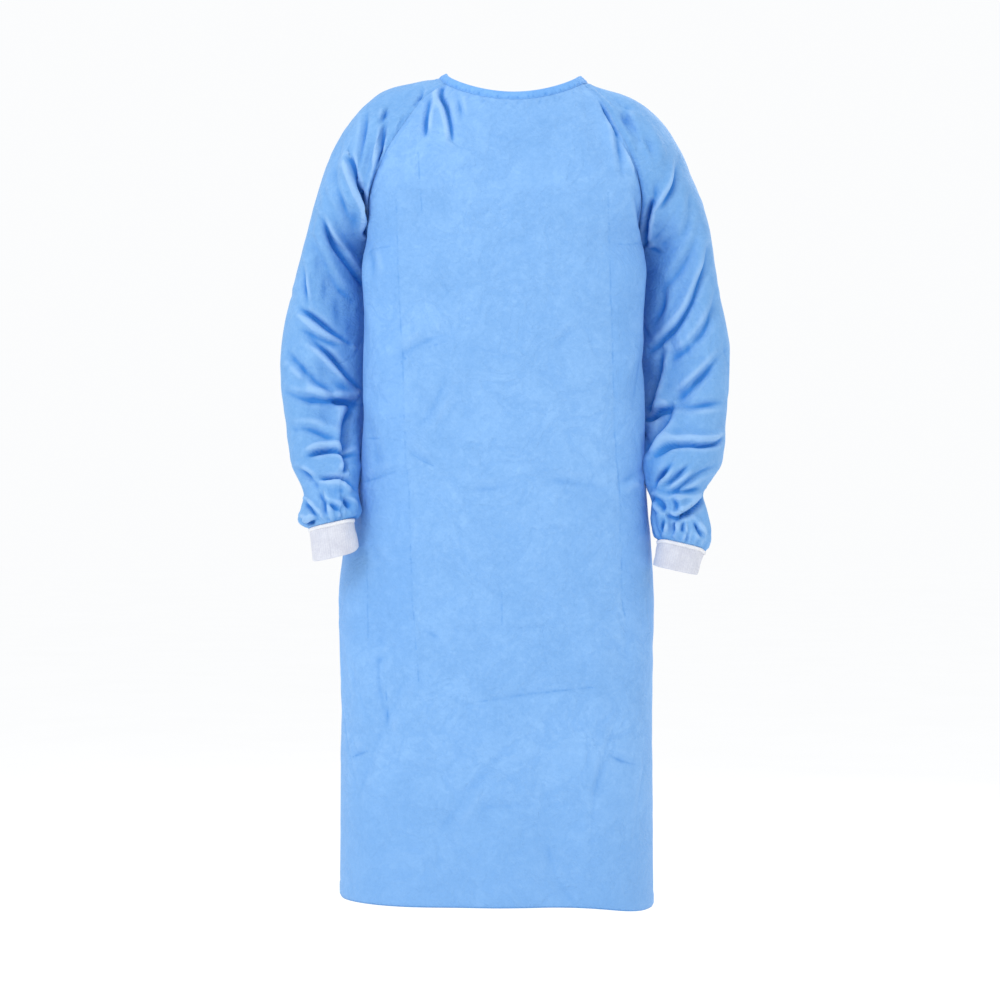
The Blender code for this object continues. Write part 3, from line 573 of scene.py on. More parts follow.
def cloth_finish(name, light=CLOTH_LIGHT, mid=CLOTH_MID, deep=CLOTH_DEEP, panel=True):
    """The blue cloth, with painted shade in its folds and fine crinkles. A panel also shows
    its seams, creases, pressed lines and hem, with painted shade along the pressed lines,
    on the front's sides and towards the hem, and a painted highlight on fold crests.
    """
    made = Finish(name, Specular_IOR_Level=0.25, Sheen_Weight=0.08, Sheen_Roughness=0.45,
                  Sheen_Tint=(0.4, 0.72, 1.0, 1.0))
    u, v = made.uv()
    body = made.place()
    blotches = made.noise(body, 9.0, 3.0, 0.6, 0.4).step(0.3, 0.7)
    clouds = made.noise(body, 46.0, 4.0, 0.7, 0.5).step(0.3, 0.7)
    mottle = made.noise(body, 150.0, 3.0, 0.75, 0.8).step(0.3, 0.7)
    fibres = made.noise(body, 460.0, 3.0, 0.75, 1.5)
    shade = blotches * 0.34 + clouds * 0.26 + mottle * 0.26 + fibres * 0.14
    tone = made.mix(shade, mid, light)
    crumple = (made.noise(body, 15.0, 5.0, 0.62, 0.7) - 0.5).size().step(0.0, 0.075)
    crinkle = (made.noise(body, 38.0, 4.0, 0.65, 0.9) - 0.5).size().step(0.0, 0.11)
    # Painted shade along the fine crinkle lines, which the bump below sinks in.
    crinkle_shade = (1 - crumple) * blotches * 0.12 + (1 - crinkle) * clouds * 0.10
    tone = made.mix(crinkle_shade, tone, deep)
    if panel:
        # Painted shade: darker towards the hem, where less light falls.
        height = made.node("ShaderNodeSeparateXYZ", None, {0: body}, output=2)
        tone = made.mix((-height).step(0.85, 1.24) * 0.50, tone, mid)
        # Painted shade on the front's sides, beyond the pressed lines.
        tone = made.mix(made.shade_and_marks("strip") * 0.16, tone, CLOTH_SIDE_SHADE)
        # Painted highlight along the crests of folds.
        tone = made.mix(made.shade_and_marks("ridge").step(0.05, 0.75) * 0.45, tone, CLOTH_CREST_HIGHLIGHT)
        double = 1 - made.shade_and_marks("seam").step(0.0062, 0.0072)
        rim = 1 - made.shade_and_marks("rim").step(0.0012, 0.0030)
        # Painted shade along the pressed lines, fading out in patches.
        line_fade = clouds.step(0.25, 0.8)
        line = (1 - made.shade_and_marks("pressed").step(0.0, 0.0022)) * line_fade
        tone = made.mix(double * 0.12, tone, deep)
        tone = made.mix(line * 0.26 + rim * 0.30, tone, deep)
    # Painted shade: the cloth's deepest blue where it lies deep in a fold or pucker, and on a sleeve
    # where it faces the body.
    tone = made.mix(made.shade_and_marks("painted_shade").step(0.02, 1.0) * 0.80, tone, deep)
    ring = (u * (2 * math.pi / BOND_PITCH)).sine() * (v * (2 * math.pi / BOND_PITCH)).sine()
    grain = ring.step(0.2, 0.95) * -0.5 + fibres * 0.8
    soft = made.noise(body, 60.0, 3.0, 0.6, 0.6)
    normal = made.bump(soft, 0.0036, 0.40)
    normal = made.bump(crumple * 0.7 + crinkle * 0.3, 0.0018, 0.42, normal)
    normal = made.bump(grain, 0.00022, 0.6, normal)
    rough = 0.50 + fibres * 0.16
    return made.paint(tone, normal, rough)


gown_cloth = cloth_finish("gown_cloth")

# The front is one panel from the neck to the hem. It lies smooth over the chest, with the
# lines of its folding in the packet pressed into it, and soft creases at the waist.
FRONT_FOLDS = [
    ([(443, 82), (441, 90), (441, 97), (446, 108), (450, 124), (452, 140)], 8.0, 3.4, -0.5),
    ([(430, 98), (428, 108), (426, 120), (425, 136)], 6.0, 3.6, 0.5),
    ([(456, 92), (459, 104), (462, 122)], 2.6, 3.8, 0.5),
    ([(601, 96), (606, 108), (612, 119), (620, 130), (628, 142)], 11.0, 3.6, 0.5),
    ([(624, 138), (630, 151), (635, 163), (640, 178)], 8.0, 3.4, -0.4),
    ([(612, 112), (617, 132), (620, 152), (622, 176)], 3.6, 4.4, -0.5),
    ([(363, 482), (380, 476), (397, 470)], 1.6, 5.0, 0.6),
    ([(378, 376), (403, 354), (428, 340), (452, 333)], 1.6, 6.6, 0.6),
    ([(412, 434), (433, 409), (447, 372), (452, 350)], 1.5, 6.6, -0.6),
    ([(409, 449), (420, 457), (433, 464)], 1.4, 5.0, 0.6),
    ([(461, 492), (487, 489), (513, 485)], 1.4, 6.0, 0.6),
    ([(544, 479), (578, 484), (611, 488)], 1.6, 7.0, 0.7),
    ([(421, 627), (441, 640)], 1.4, 5.0, 0.5),
    ([(377, 662), (394, 652)], 1.4, 5.0, 0.5),
    ([(436, 838), (468, 794), (506, 748)], 1.3, 8.0, -0.8),
    ([(352, 757), (369, 750)], 1.6, 6.0, 0.6),
    ([(609, 755), (622, 761), (636, 765)], 1.8, 6.0, 0.6),
    ([(436, 632), (500, 629), (562, 628)], 1.0, 7.0, 0.6),
    ([(462, 704), (530, 694), (596, 687)], 1.0, 8.0, 0.7),
    ([(468, 808), (527, 805), (586, 803)], 1.0, 8.0, 0.7),
    ([(424, 149), (433, 141)], 1.2, 4.0, 0.5),
    ([(636, 189), (639, 207), (643, 231), (645, 246)], 4.5, 4.4, -0.4),
    ([(646, 352), (640, 372), (634, 400)], 3.0, 8.0, -0.5),
    ([(646, 466), (630, 478), (618, 486)], 2.2, 6.0, 0.6),
    ([(366, 240), (372, 262), (370, 290)], 2.4, 6.0, 0.5),
    ([(365, 410), (372, 440), (378, 470)], 2.4, 7.0, 0.5),
]
FRONT_PRESSED = [
    [(418, 152), (420, 183), (422, 214)],
    [(396, 198), (398, 280), (401, 335), (403, 372), (405, 452), (409, 495), (412, 599),
     (414, 624), (419, 683)],
    [(367, 550), (368, 639)],
    [(385, 673), (387, 718)],
    [(608, 192), (611, 299), (613, 341), (614, 415), (616, 452), (620, 495), (622, 599),
     (625, 617)],
    [(502, 590), (502, 627)],
    [(369, 250), (391, 246)],
    [(617, 244), (645, 244)],
    [(363, 438), (403, 440)],
    [(378, 376), (403, 360), (424, 348), (452, 340)],
    [(409, 452), (420, 460), (434, 466)],
    [(363, 482), (380, 477), (397, 471)],
    [(352, 757), (369, 750)],
    [(609, 755), (622, 761), (636, 765)],
    [(462, 704), (530, 694), (596, 687)],
]


def press_lines(cloth, lines):
    """Draws the nearest points of the grid onto each pressed line, and gives every
    point's distance from the nearest line, in metres."""
    away = np.full(cloth.points.shape[:2], 0.01)
    for line in lines:
        line = np.array(line, float)
        upright = abs(line[-1, 1] - line[0, 1]) > abs(line[-1, 0] - line[0, 0])
        own, other = (0, 1) if upright else (1, 0)
        seen = cloth.seen()
        grid = cloth.points if upright else np.swapaxes(cloth.points, 0, 1)
        flat = seen if upright else np.swapaxes(seen, 0, 1)
        reach = np.swapaxes(away, 0, 1) if not upright else away
        for row, spots, far in zip(grid, flat, reach):
            target = np.interp(spots[:, other], line[:, other], line[:, own],
                               left=np.nan, right=np.nan)
            gap = spots[:, own] - target
            cross = np.nonzero(gap[:-1] * gap[1:] <= 0)[0]
            if not len(cross):
                continue
            j = cross[0]
            part = abs(gap[j]) / max(abs(gap[j] - gap[j + 1]), 1e-9)
            spot = row[j] * (1 - part) + row[j + 1] * part
            near = j if part < 0.5 else j + 1
            row[near] = spot
            for k in range(max(near - 4, 0), min(near + 5, len(row))):
                far[k] = min(far[k], abs(k - near) * abs(gap[j] - gap[j + 1]) * PIXEL)
    return away


def settle(cloth, push, slide=None):
    """The panel's points pushed out of the cloth and slid along the picture plane."""
    points = cloth.points + cloth.normals * push[..., None]
    if slide is not None:
        points[..., 0] += slide[..., 0]
        points[..., 2] -= slide[..., 1]
    return points


def side_shade_mask(cloth, left, right):
    """1 on the sides of the front beyond two of its pressed lines, down to the thigh, where
    painted shade is laid.
    """
    seen = cloth.seen()
    x, y = seen[..., 0], seen[..., 1]
    first, last = (np.interp(y, *np.array(line, float).T[::-1]) for line in (left, right))
    beyond = smooth(1.5, -1.5, x - first) + smooth(-1.5, 1.5, x - last)
    return beyond * smooth(170, 250, y) * smooth(700, 600, y)


HOLLOW_DEPTH = 0.0040  # a fold this deep gets the full painted shade, the cloth's deepest blue


def hollows(push):
    """How deep each point lies below the cloth around it, from 0 to 1."""
    wide = push.copy()
    for _ in range(14):
        for axis in (0, 1):
            wide = (np.roll(wide, 1, axis) + 2 * wide + np.roll(wide, -1, axis)) / 4
    return np.clip((wide - push) / HOLLOW_DEPTH, 0, 1)


def hem_edge(cloth, push):
    """A narrow hem: a welt above its line, and the edge rolled a little inwards."""
    up = cloth.v[-1:] - cloth.v
    push += 0.0009 * smooth(0.0215, 0.0195, up) - 0.0007 * bell(up - 0.0205, 0.0016)
    return push - 0.0022 * bell(up, 0.0026)


front = Cloth("front_panel", FRONT_NECK, 27, 146, 316)
pressed = press_lines(front, FRONT_PRESSED)
front.measure()
push, slide = fold_field(front.seen(), FRONT_FOLDS, PIXEL, 1.2, 1.2)
push += 0.0006 * tilted_waves(front.u, front.v, 3, 0.16, 0.04, 20)
push += loose_creases(front, 11, 46, 0.9, (0.04, 0.12))
long_creases = loose_creases(front, 12, 14, 1.6, (0.10, 0.26), (1.35, 0.25))
push += long_creases * smooth(0.55, 0.8, front.v)
gathers = neck_puckers(front, 8)
push = held_at_edges(front, push, 0.005) + gathers
push -= 0.0005 * smooth(0.0035, 0.0, pressed)
push += sewn_edges(front, 0.0005, 5)
# Painted shade in the folds and in the troughs of the neck puckers, a painted highlight on fold crests,
# and painted shade on the front's sides.
shade_and_marks = {"pressed": pressed, "rim": front.v[-1:] - front.v, "ridge": hollows(-push),
        "painted_shade": hollows(push) + np.maximum(-gathers, 0) * 200,
        "strip": side_shade_mask(front, FRONT_PRESSED[1], FRONT_PRESSED[4])}
points = settle(front, hem_edge(front, push), held_at_edges(front, slide))
cloth_piece(front, points, shade_and_marks, gown_cloth)

# A raglan sleeve runs from the neck over the shoulder to the cuff. It is wide, so the
# cloth falls into long slack folds, gathers under the arm and puffs out over the cuff.
CUFF_ARCH = {"left": 0.0016, "right": 0.0042}  # how far the seam to the cuff rises in front
LEAN_IN = {  # heights, and how far the slack cloth bulges there towards the body
    "left": ((-0.650, -0.637, -0.614, -0.590, -0.560, -0.510),
             (0.0, 0.0040, 0.0052, 0.0066, 0.0074, 0.0)),
    "right": ((-0.650, -0.632, -0.610, -0.592, -0.560, -0.505, -0.470),
              (0.0, 0.0040, 0.0016, 0.0066, 0.0078, 0.0044, 0.0)),
}
LEFT_FOLDS = [
    ([(367, 112), (362, 141), (360, 158), (359, 170)], 3.5, 4.0, -0.5),
    ([(351, 160), (354, 174), (359, 190), (364, 208), (365, 231)], 11.0, 4.2, -0.8),
    ([(385, 122), (381, 141), (380, 156), (378, 172), (373, 189), (370, 208)],
     7.0, 3.6, -0.5),
    ([(422, 90), (421, 96), (416, 106), (411, 119), (408, 128)], 4.5, 3.4, 0.4),
    ([(403, 121), (401, 138), (396, 159)], 4.5, 3.6, -0.5),
    ([(388, 108), (384, 116), (379, 124)], 3.0, 3.6, -0.5),
    ([(342, 140), (336, 158), (333, 178)], 2.4, 6.0, 0.6),
    ([(334, 172), (338, 192), (345, 210), (352, 226)], 2.8, 6.0, 0.7),
    ([(321, 218), (331, 238), (344, 258), (354, 272), (362, 284)], 5.5, 4.6, 0.6),
    ([(313, 240), (322, 262), (336, 286), (350, 300)], 2.6, 6.5, 0.6),
    ([(303, 264), (304, 284), (307, 306)], 2.6, 3.4, 0.6),
    ([(300, 309), (316, 320), (333, 333), (349, 343)], 5.5, 4.6, -0.6),
    ([(303, 331), (325, 341), (347, 348)], 2.6, 4.6, 0.8),
    ([(309, 338), (325, 351), (343, 370), (359, 388)], 5.0, 5.0, -0.6),
    ([(288, 352), (300, 366), (318, 382), (334, 393)], 3.4, 6.0, -0.6),
    ([(284, 392), (300, 397), (320, 400), (342, 401)], 3.6, 6.0, 0.6),
    ([(332, 400), (342, 401), (354, 403)], 7.0, 5.0, 0.5),
    ([(354, 404), (347, 420), (344, 440), (345, 462)], 8.0, 7.0, -0.5),
    ([(290, 430), (304, 428), (320, 432), (336, 442)], 3.0, 6.0, 0.5),
    ([(307, 455), (317, 451), (328, 450), (340, 454), (351, 455)], 7.0, 4.0, 0.5),
    ([(342, 455), (344, 463), (342, 474)], 5.0, 3.6, -0.5),
    ([(318, 478), (333, 480), (345, 483), (352, 491)], 6.0, 3.8, -0.6),
    ([(298, 470), (308, 476), (320, 488)], 3.6, 4.4, 0.6),
    ([(327, 502), (333, 507), (338, 513)], 3.6, 3.0, 0.6),
    ([(341, 499), (347, 506), (349, 512)], 3.2, 3.0, 0.6),
    ([(305, 502), (311, 509), (317, 517)], 4.2, 3.2, 0.7),
    ([(294, 482), (299, 489), (304, 494)], 4.0, 4.0, -0.8),
    ([(300, 519), (308, 524), (317, 520)], 5.5, 3.4, 0.6),
    ([(320, 492), (324, 502), (326, 514)], 3.0, 3.0, 0.6),
]
LEFT_HIDDEN = [
    ([(352, 150), (346, 180), (352, 215)], 4.0, 6.0, 0.6),
    ([(330, 215), (345, 245), (366, 262)], 6.0, 5.5, 0.6),
    ([(305, 285), (325, 305), (352, 318)], 5.5, 5.5, -0.6),
    ([(296, 335), (322, 352), (352, 360)], 5.0, 6.0, 0.6),
    ([(288, 378), (310, 392), (345, 396)], 6.5, 5.0, -0.6),
    ([(292, 425), (318, 420), (346, 430)], 4.5, 6.0, 0.6),
    ([(300, 455), (322, 462), (350, 458)], 6.0, 4.4, 0.5),
    ([(304, 486), (320, 480), (346, 492)], 5.0, 4.0, -0.6),
    ([(310, 505), (318, 515)], 4.0, 3.4, 0.6),
    ([(332, 500), (336, 514)], 3.6, 3.4, 0.6),
]
RIGHT_FOLDS = [
    ([(623, 110), (628, 122), (636, 134)], 2.6, 5.0, 0.6),
    ([(610, 95), (622, 104), (636, 110)], 2.0, 5.0, -0.6),
    ([(640, 128), (650, 144), (656, 166)], 2.4, 6.0, 0.6),
    ([(651, 203), (648, 216), (646, 232), (645, 244)], 7.5, 4.2, 0.5),
    ([(656, 182), (655, 198), (650, 216)], 3.0, 4.4, 0.6),
    ([(679, 160), (676, 176), (672, 190), (662, 206), (652, 216)], 3.2, 4.4, -0.8),
    ([(690, 192), (690, 215), (683, 240)], 2.6, 6.0, -0.6),
    ([(700, 222), (694, 246), (680, 270), (664, 290)], 2.8, 7.0, -0.6),
    ([(646, 250), (653, 249), (661, 253)], 1.6, 3.4, 0.4),
    ([(709, 248), (706, 266), (699, 284), (690, 306), (678, 325), (664, 340), (652, 351)],
     5.5, 5.2, -0.6),
    ([(664, 284), (662, 306), (653, 326)], 2.6, 6.0, 0.6),
    ([(717, 300), (706, 326), (690, 346), (672, 360)], 3.4, 6.0, -0.6),
    ([(662, 352), (658, 372), (653, 394), (648, 416)], 7.0, 6.0, 0.5),
    ([(724, 352), (706, 372), (690, 388), (671, 405)], 3.6, 6.0, -0.6),
    ([(671, 406), (660, 413), (648, 421)], 7.0, 4.4, -0.5),
    ([(671, 408), (665, 424), (655, 440), (648, 452)], 7.0, 6.0, 0.5),
    ([(726, 402), (708, 404), (690, 406), (676, 405)], 3.0, 6.0, 0.5),
    ([(659, 457), (671, 446), (687, 443), (702, 444), (716, 443), (725, 438)],
     7.0, 4.2, 0.5),
    ([(671, 464), (664, 475), (657, 488)], 5.0, 3.6, 0.7),
    ([(690, 464), (678, 476), (662, 489)], 3.4, 4.0, 0.6),
    ([(714, 466), (696, 476), (676, 490), (664, 492)], 3.4, 4.4, 0.6),
    ([(702, 488), (686, 492), (668, 494)], 3.2, 4.0, 0.6),
    ([(669, 516), (676, 518), (684, 514), (694, 508), (701, 500), (704, 493)],
     7.5, 3.8, 0.5),
    ([(659, 498), (662, 504), (665, 511)], 4.0, 3.4, -0.8),
    ([(655, 497), (654, 504), (657, 512)], 4.0, 3.4, 0.6),
    ([(672, 497), (676, 504), (676, 512)], 3.0, 3.4, 0.6),
    ([(664, 520), (663, 527), (662, 534)], 4.5, 2.8, 0.5),
    ([(674, 522), (675, 528), (674, 534)], 4.5, 2.8, 0.5),
    ([(684, 522), (683, 528), (683, 534)], 4.0, 2.8, 0.5),
    ([(694, 522), (698, 529), (702, 538)], 4.5, 3.0, 0.5),
]
RIGHT_HIDDEN = [
    ([(660, 140), (668, 170), (662, 200)], 4.0, 6.0, -0.6),
    ([(690, 205), (678, 235), (655, 256)], 6.0, 5.5, -0.6),
    ([(706, 270), (688, 296), (660, 312)], 5.5, 6.0, -0.6),
    ([(718, 330), (696, 350), (664, 360)], 6.0, 5.5, 0.6),
    ([(722, 380), (700, 396), (662, 398)], 6.5, 5.0, -0.6),
    ([(722, 428), (698, 424), (664, 436)], 4.5, 6.0, 0.6),
    ([(720, 460), (694, 468), (662, 462)], 6.0, 4.4, 0.5),
    ([(704, 500), (686, 490), (660, 498)], 5.0, 4.0, -0.6),
    ([(690, 520), (688, 536)], 4.0, 3.2, 0.6),
    ([(668, 520), (670, 534)], 4.0, 3.2, 0.6),
]


def cuff_gathers(cloth, count, depth, seed):
    """The pleats that draw a sleeve in to its cuff, uneven round it."""
    up = cloth.v[-1:] - cloth.v
    turn = 2 * np.pi * cloth.share
    pick = np.random.default_rng(seed)
    beat = turn + 0.16 * np.sin(3 * turn + pick.random() * 6)
    wave = np.cos(count * beat) + 0.5 * np.cos((count - 5) * beat + 1.3)
    start = smooth(0.0, 0.006, up)
    near = bell(up, 0.030) * start
    puff = 0.0030 * bell(up - 0.016, 0.012) * start
    return depth * wave * near + puff


def sleeve(side, inward, neck, seen_folds, hidden_folds, seed):
    cloth = Cloth(f"sleeve_{side}", neck, 37, 140, 284, closes=True)
    ahead, behind = cloth.faces(-1), cloth.faces(1)
    push, slide = fold_field(cloth.seen(), seen_folds, PIXEL, 2.0, 1.12)
    push, slide = push * ahead, slide * ahead[..., None]
    back_push, back_slide = fold_field(cloth.seen(), hidden_folds, PIXEL, 1.5, 1.2)
    push += back_push * behind
    slide += back_slide * behind[..., None]
    push += 0.0007 * tilted_waves(cloth.u, cloth.v, seed, 0.12, 0.03, 20)
    push += loose_creases(cloth, seed + 1, 40, 1.2, (0.03, 0.10))
    push = held_at_edges(cloth, push)
    faces_body = smooth(0.1, 0.85, inward * cloth.normals[..., 0])
    push += faces_body * np.interp(cloth.points[..., 2], *LEAN_IN[side])
    end = smooth(0.0, 0.007, cloth.v[-1:] - cloth.v)
    push = push * end + cuff_gathers(cloth, 17, 0.0016, seed + 2)
    push += sewn_edges(cloth, 0.0006, seed + 3)
    push[cloth.rings, -1] = push[cloth.rings, 0]
    slide = held_at_edges(cloth, slide) * end[..., None]
    slide[cloth.rings, -1] = slide[cloth.rings, 0]
    push += neck_puckers(cloth, seed + 4) * (cloth.row < CAP_ROW)[:, None]
    away = np.full(push.shape, 0.01)
    # Painted shade low down where the sleeve faces the body, and in its folds; a painted highlight on
    # its fold crests.
    shaded = 0.42 * faces_body * smooth(-0.15, -0.25, cloth.points[..., 2])
    shade_and_marks = {"pressed": away, "painted_shade": hollows(push) + shaded, "ridge": hollows(-push),
            "rim": away}
    points = settle(cloth, push, slide)
    raised = CUFF_ARCH[side] * smooth(0.1, 1.0, -cloth.normals[..., 1])
    points[..., 2] += raised * bell(cloth.v[-1:] - cloth.v, 0.018)
    cloth_piece(cloth, points, shade_and_marks, sleeve_cloth_shaded)
    return cloth


# The sleeves get a darker copy of the cloth: painted shade, as they hang back from the light beside the
# body.
sleeve_cloth_shaded = cloth_finish("sleeve_cloth_shaded", colour(138, 188, 240), colour(104, 160, 219))
left_sleeve = sleeve("left", 1, LEFT_NECK, LEFT_FOLDS, LEFT_HIDDEN, 20)
right_sleeve = sleeve("right", -1, RIGHT_NECK, RIGHT_FOLDS, RIGHT_HIDDEN, 30)

# The two back panels overlap down the middle. They are plain, hang from the shoulders
# and are drawn together at the waist, where the ties press small pleats into them.
BACK_LEFT_NECK = [(-0.077, 0.040, -0.004), (0.066, 0.066, -0.009)]
BACK_RIGHT_NECK = [(-0.046, 0.070, -0.007), (0.099, 0.040, -0.004)]
BACK_FOLDS = [
    ([(392, 160), (404, 190), (410, 230)], 4.5, 7.0, 0.6),
    ([(600, 160), (590, 195), (585, 235)], 4.5, 7.0, -0.6),
    ([(376, 255), (400, 300), (440, 330)], 4.5, 8.0, 0.6),
    ([(630, 255), (606, 300), (570, 332)], 4.5, 8.0, -0.6),
    ([(440, 280), (452, 320), (456, 370)], 3.0, 8.0, 0.6),
    ([(560, 285), (552, 330), (550, 372)], 3.0, 8.0, -0.6),
    ([(420, 425), (412, 470), (408, 540)], 5.0, 9.0, 0.6),
    ([(462, 428), (458, 480), (452, 560)], 5.0, 9.0, -0.6),
    ([(545, 428), (552, 490), (556, 570)], 5.0, 9.0, 0.6),
    ([(588, 425), (596, 470), (602, 540)], 5.0, 9.0, -0.6),
    ([(400, 620), (396, 720), (404, 850)], 5.0, 11.0, 0.6),
    ([(600, 610), (606, 720), (600, 840)], 5.0, 11.0, -0.6),
    ([(470, 640), (462, 740), (470, 880)], 4.0, 11.0, 0.6),
    ([(548, 650), (556, 760), (548, 880)], 4.0, 11.0, -0.6),
]
WAIST_Z = -0.4705


def waist_pleats(cloth, seed):
    """Small upright pleats that the ties press in, above and below themselves."""
    pick = np.random.default_rng(seed)
    away = np.abs(cloth.points[..., 2] - WAIST_Z)
    beat = cloth.u + 0.006 * np.sin(cloth.u * 37 + pick.random() * 6)
    wave = two_waves(beat, 0.034, 0.051, 0.6, 2)
    return 0.0021 * wave * bell(away, 0.050) * smooth(0.008, 0.020, away)


def back_panel(side, neck, seed):
    cloth = Cloth(f"back_panel_{side}", neck, 16, 88, 280)
    push, slide = fold_field(cloth.seen(), BACK_FOLDS, PIXEL, 0.85, 1.25)
    push += 0.0008 * tilted_waves(cloth.u, cloth.v, 41, 0.16, 0.04, 20)
    push += loose_creases(cloth, seed + 1, 40, 1.1, (0.04, 0.13))
    push += waist_pleats(cloth, 7)
    free = cloth.share if side == "left" else 1 - cloth.share
    tied = np.exp(-(((cloth.points[..., 2] - WAIST_Z) / 0.020) ** 2))
    push *= 1 - 0.8 * tied
    push = held_at_edges(cloth, push)
    push *= smooth(1.0, 0.72, free) * 0.85 + 0.15
    push += sewn_edges(cloth, 0.0005, seed + 3)
    push += neck_puckers(cloth, seed + 4)
    # Painted shade in the folds and a painted highlight on their crests.
    shade_and_marks = {"pressed": np.full(push.shape, 0.01), "painted_shade": hollows(push),
            "ridge": hollows(-push), "rim": cloth.v[-1:] - cloth.v}
    push = hem_edge(cloth, push)
    points = settle(cloth, push, held_at_edges(cloth, slide))
    cloth_piece(cloth, points, shade_and_marks, gown_cloth)
    return cloth


left_back = back_panel("left", BACK_LEFT_NECK, 50)
right_back = back_panel("right", BACK_RIGHT_NECK, 60)

# The neck edge is bound with a strip of the same cloth, folded over it and stitched on
# through all its layers. It lies double, so its blue is a little deeper.
BINDING_LIES = 0.0006  # how far its leaves lie off the cloth that they hold
WALL = 0.0015  # thickness of the panels' solids
LEAF_STITCH = 0.16  # where the stitches run, as a share of the leaf from its lower edge


def unit(vectors):
    return vectors / np.linalg.norm(vectors, axis=-1, keepdims=True)


def evened(lines, spacing):
    """Lines of points with the same number each, spread evenly along the first one."""
    run = np.concatenate([[0], np.cumsum(np.linalg.norm(np.diff(lines[0], axis=0), axis=1))])
    at = np.linspace(0, run[-1], int(run[-1] / spacing) + 1)
    return at, [np.stack([np.interp(at, run, line[:, k]) for k in range(3)], axis=1)
                for line in lines]


def softened(line, times):
    """A line of points with its corners rounded off."""
    for _ in range(times):
        line = np.vstack([line[:1], (line[:-2] + 2 * line[1:-1] + line[2:]) / 4, line[-1:]])
    return line


def grid_piece(name, points, finish, rings=False, loop=False, thick=0.0, painted_shade=None):
    """A piece from rows of points. Its rings run on from the last point of a row to the
    first, and a loop from the last row to the first. Rings that don't loop get ends."""
    index = np.arange(points.shape[0] * points.shape[1]).reshape(points.shape[:2])
    if rings:
        index = np.hstack([index, index[:, :1]])
    if loop:
        index = np.vstack([index, index[:1]])
    flat = points.reshape(-1, 3)
    whole = flat[index]
    wide = np.linalg.norm(np.diff(whole, axis=1), axis=-1).mean(axis=0)
    deep = np.linalg.norm(np.diff(whole, axis=0), axis=-1).mean(axis=1)
    u, v = np.meshgrid(np.concatenate([[0], np.cumsum(wide)]),
                       np.concatenate([[0], np.cumsum(deep)]))
    corners = (slice(None, -1), slice(1, None))
    ways = ((0, 0), (1, 0), (1, 1), (0, 1))
    quads, places = (np.stack([grid[corners[a], corners[b]] for a, b in ways], axis=2)
                     for grid in (index, np.stack([u, v], axis=-1)))
    faces = quads.reshape(-1, 4).tolist()
    places = places.reshape(-1, 2)
    if rings and not loop:
        faces += [index[0, :-1].tolist(), index[-1, :-1].tolist()]
        places = np.vstack([places, np.zeros((2 * points.shape[1], 2))])
    mesh = bpy.data.meshes.new(name)
    mesh.from_pydata(flat.tolist(), [], faces)
    mesh.uv_layers.new(name="cloth").data.foreach_set("uv", places.ravel())
    if painted_shade is not None:
        layer = mesh.attributes.new("painted_shade", "FLOAT", "POINT")
        layer.data.foreach_set("value", painted_shade.ravel())
    shape = bmesh.new()
    shape.from_mesh(mesh)
    bmesh.ops.recalc_face_normals(shape, faces=shape.faces)
    shape.to_mesh(mesh)
    shape.free()
    mesh.materials.append(finish)
    piece = bpy.data.objects.new(name, mesh)
    bpy.context.scene.collection.objects.link(piece)
    if thick:
        thicken = piece.modifiers.new("thickness", "SOLIDIFY")
        thicken.thickness = thick
        thicken.offset = 0
        apply_all(piece)
    piece.data.shade_smooth()
    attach(piece, "root")
    return piece


def stitches(name, line, out, pitch, finish, length=0.0019, thick=0.00032):
    """A row of machine stitches: short threads that lie end to end along a line."""
    at, (line, out) = evened([line, out], pitch)
    middle, way = (line[1:] + line[:-1]) / 2, unit(np.diff(line, axis=0))
    out = unit((out[1:] + out[:-1]) / 2)
    side = np.cross(way, out)
    turn = np.linspace(0, 2 * np.pi, 6, endpoint=False)
    along = np.array([-1, -0.72, 0, 0.72, 1]) * length / 2
    round_it = np.array([0.25, 0.85, 1, 0.85, 0.25]) * thick
    rise = out[:, None, None] * np.sin(turn)[:, None] + side[:, None, None] * np.cos(turn)[:, None]
    points = (middle[:, None, None] + way[:, None, None] * along[:, None, None]
              + rise * round_it[:, None, None])
    one = np.arange(30).reshape(5, 6)
    after = np.roll(one, -1, axis=1)
    faces = [[one[i, j], after[i, j], after[i + 1, j], one[i + 1, j]]
             for i in range(4) for j in range(6)]
    ends = [one[0][::-1].tolist(), one[-1].tolist()]
    every = []
    for number in range(len(points)):
        every += [[int(k) + 30 * number for k in face] for face in faces + ends]
    mesh = bpy.data.meshes.new(name)
    mesh.from_pydata(points.reshape(-1, 3).tolist(), [], every)
    shape = bmesh.new()
    shape.from_mesh(mesh)
    bmesh.ops.recalc_face_normals(shape, faces=shape.faces)
    shape.to_mesh(mesh)
    shape.free()
    mesh.materials.append(finish)
    mesh.shade_smooth()
    piece = bpy.data.objects.new(name, mesh)
    bpy.context.scene.collection.objects.link(piece)
    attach(piece, "root")
    return piece


def neck_line(level):
    """The row of the panels' points at this level, from the inner back panel's opening
    round the front to the outer one's, with the directions out of the cloth."""
    points, outs = [], []
    for cloth, way in ((left_back, -1), (left_sleeve, -1), (front, 1), (right_sleeve, 1),
                       (right_back, -1)):
        row = np.abs(cloth.row - level).argmin()
        own, out = cloth.points[row][::way], cloth.normals[row][::way]
        points.append(own[1:] if points else own)
        outs.append(out[1:] if outs else out)
    return np.vstack(points), np.vstack(outs)


binding_cloth = cloth_finish("binding_cloth", colour(132, 188, 247), colour(102, 162, 231),
                             panel=False)
thread = Finish("thread", Roughness=0.6, Specular_IOR_Level=0.3)
twist = thread.noise(thread.place(), 900.0, 2.0)
thread = thread.paint(thread.mix(twist, colour(96, 156, 226), colour(134, 186, 242)),
                      thread.bump(twist, 0.0002, 0.5))

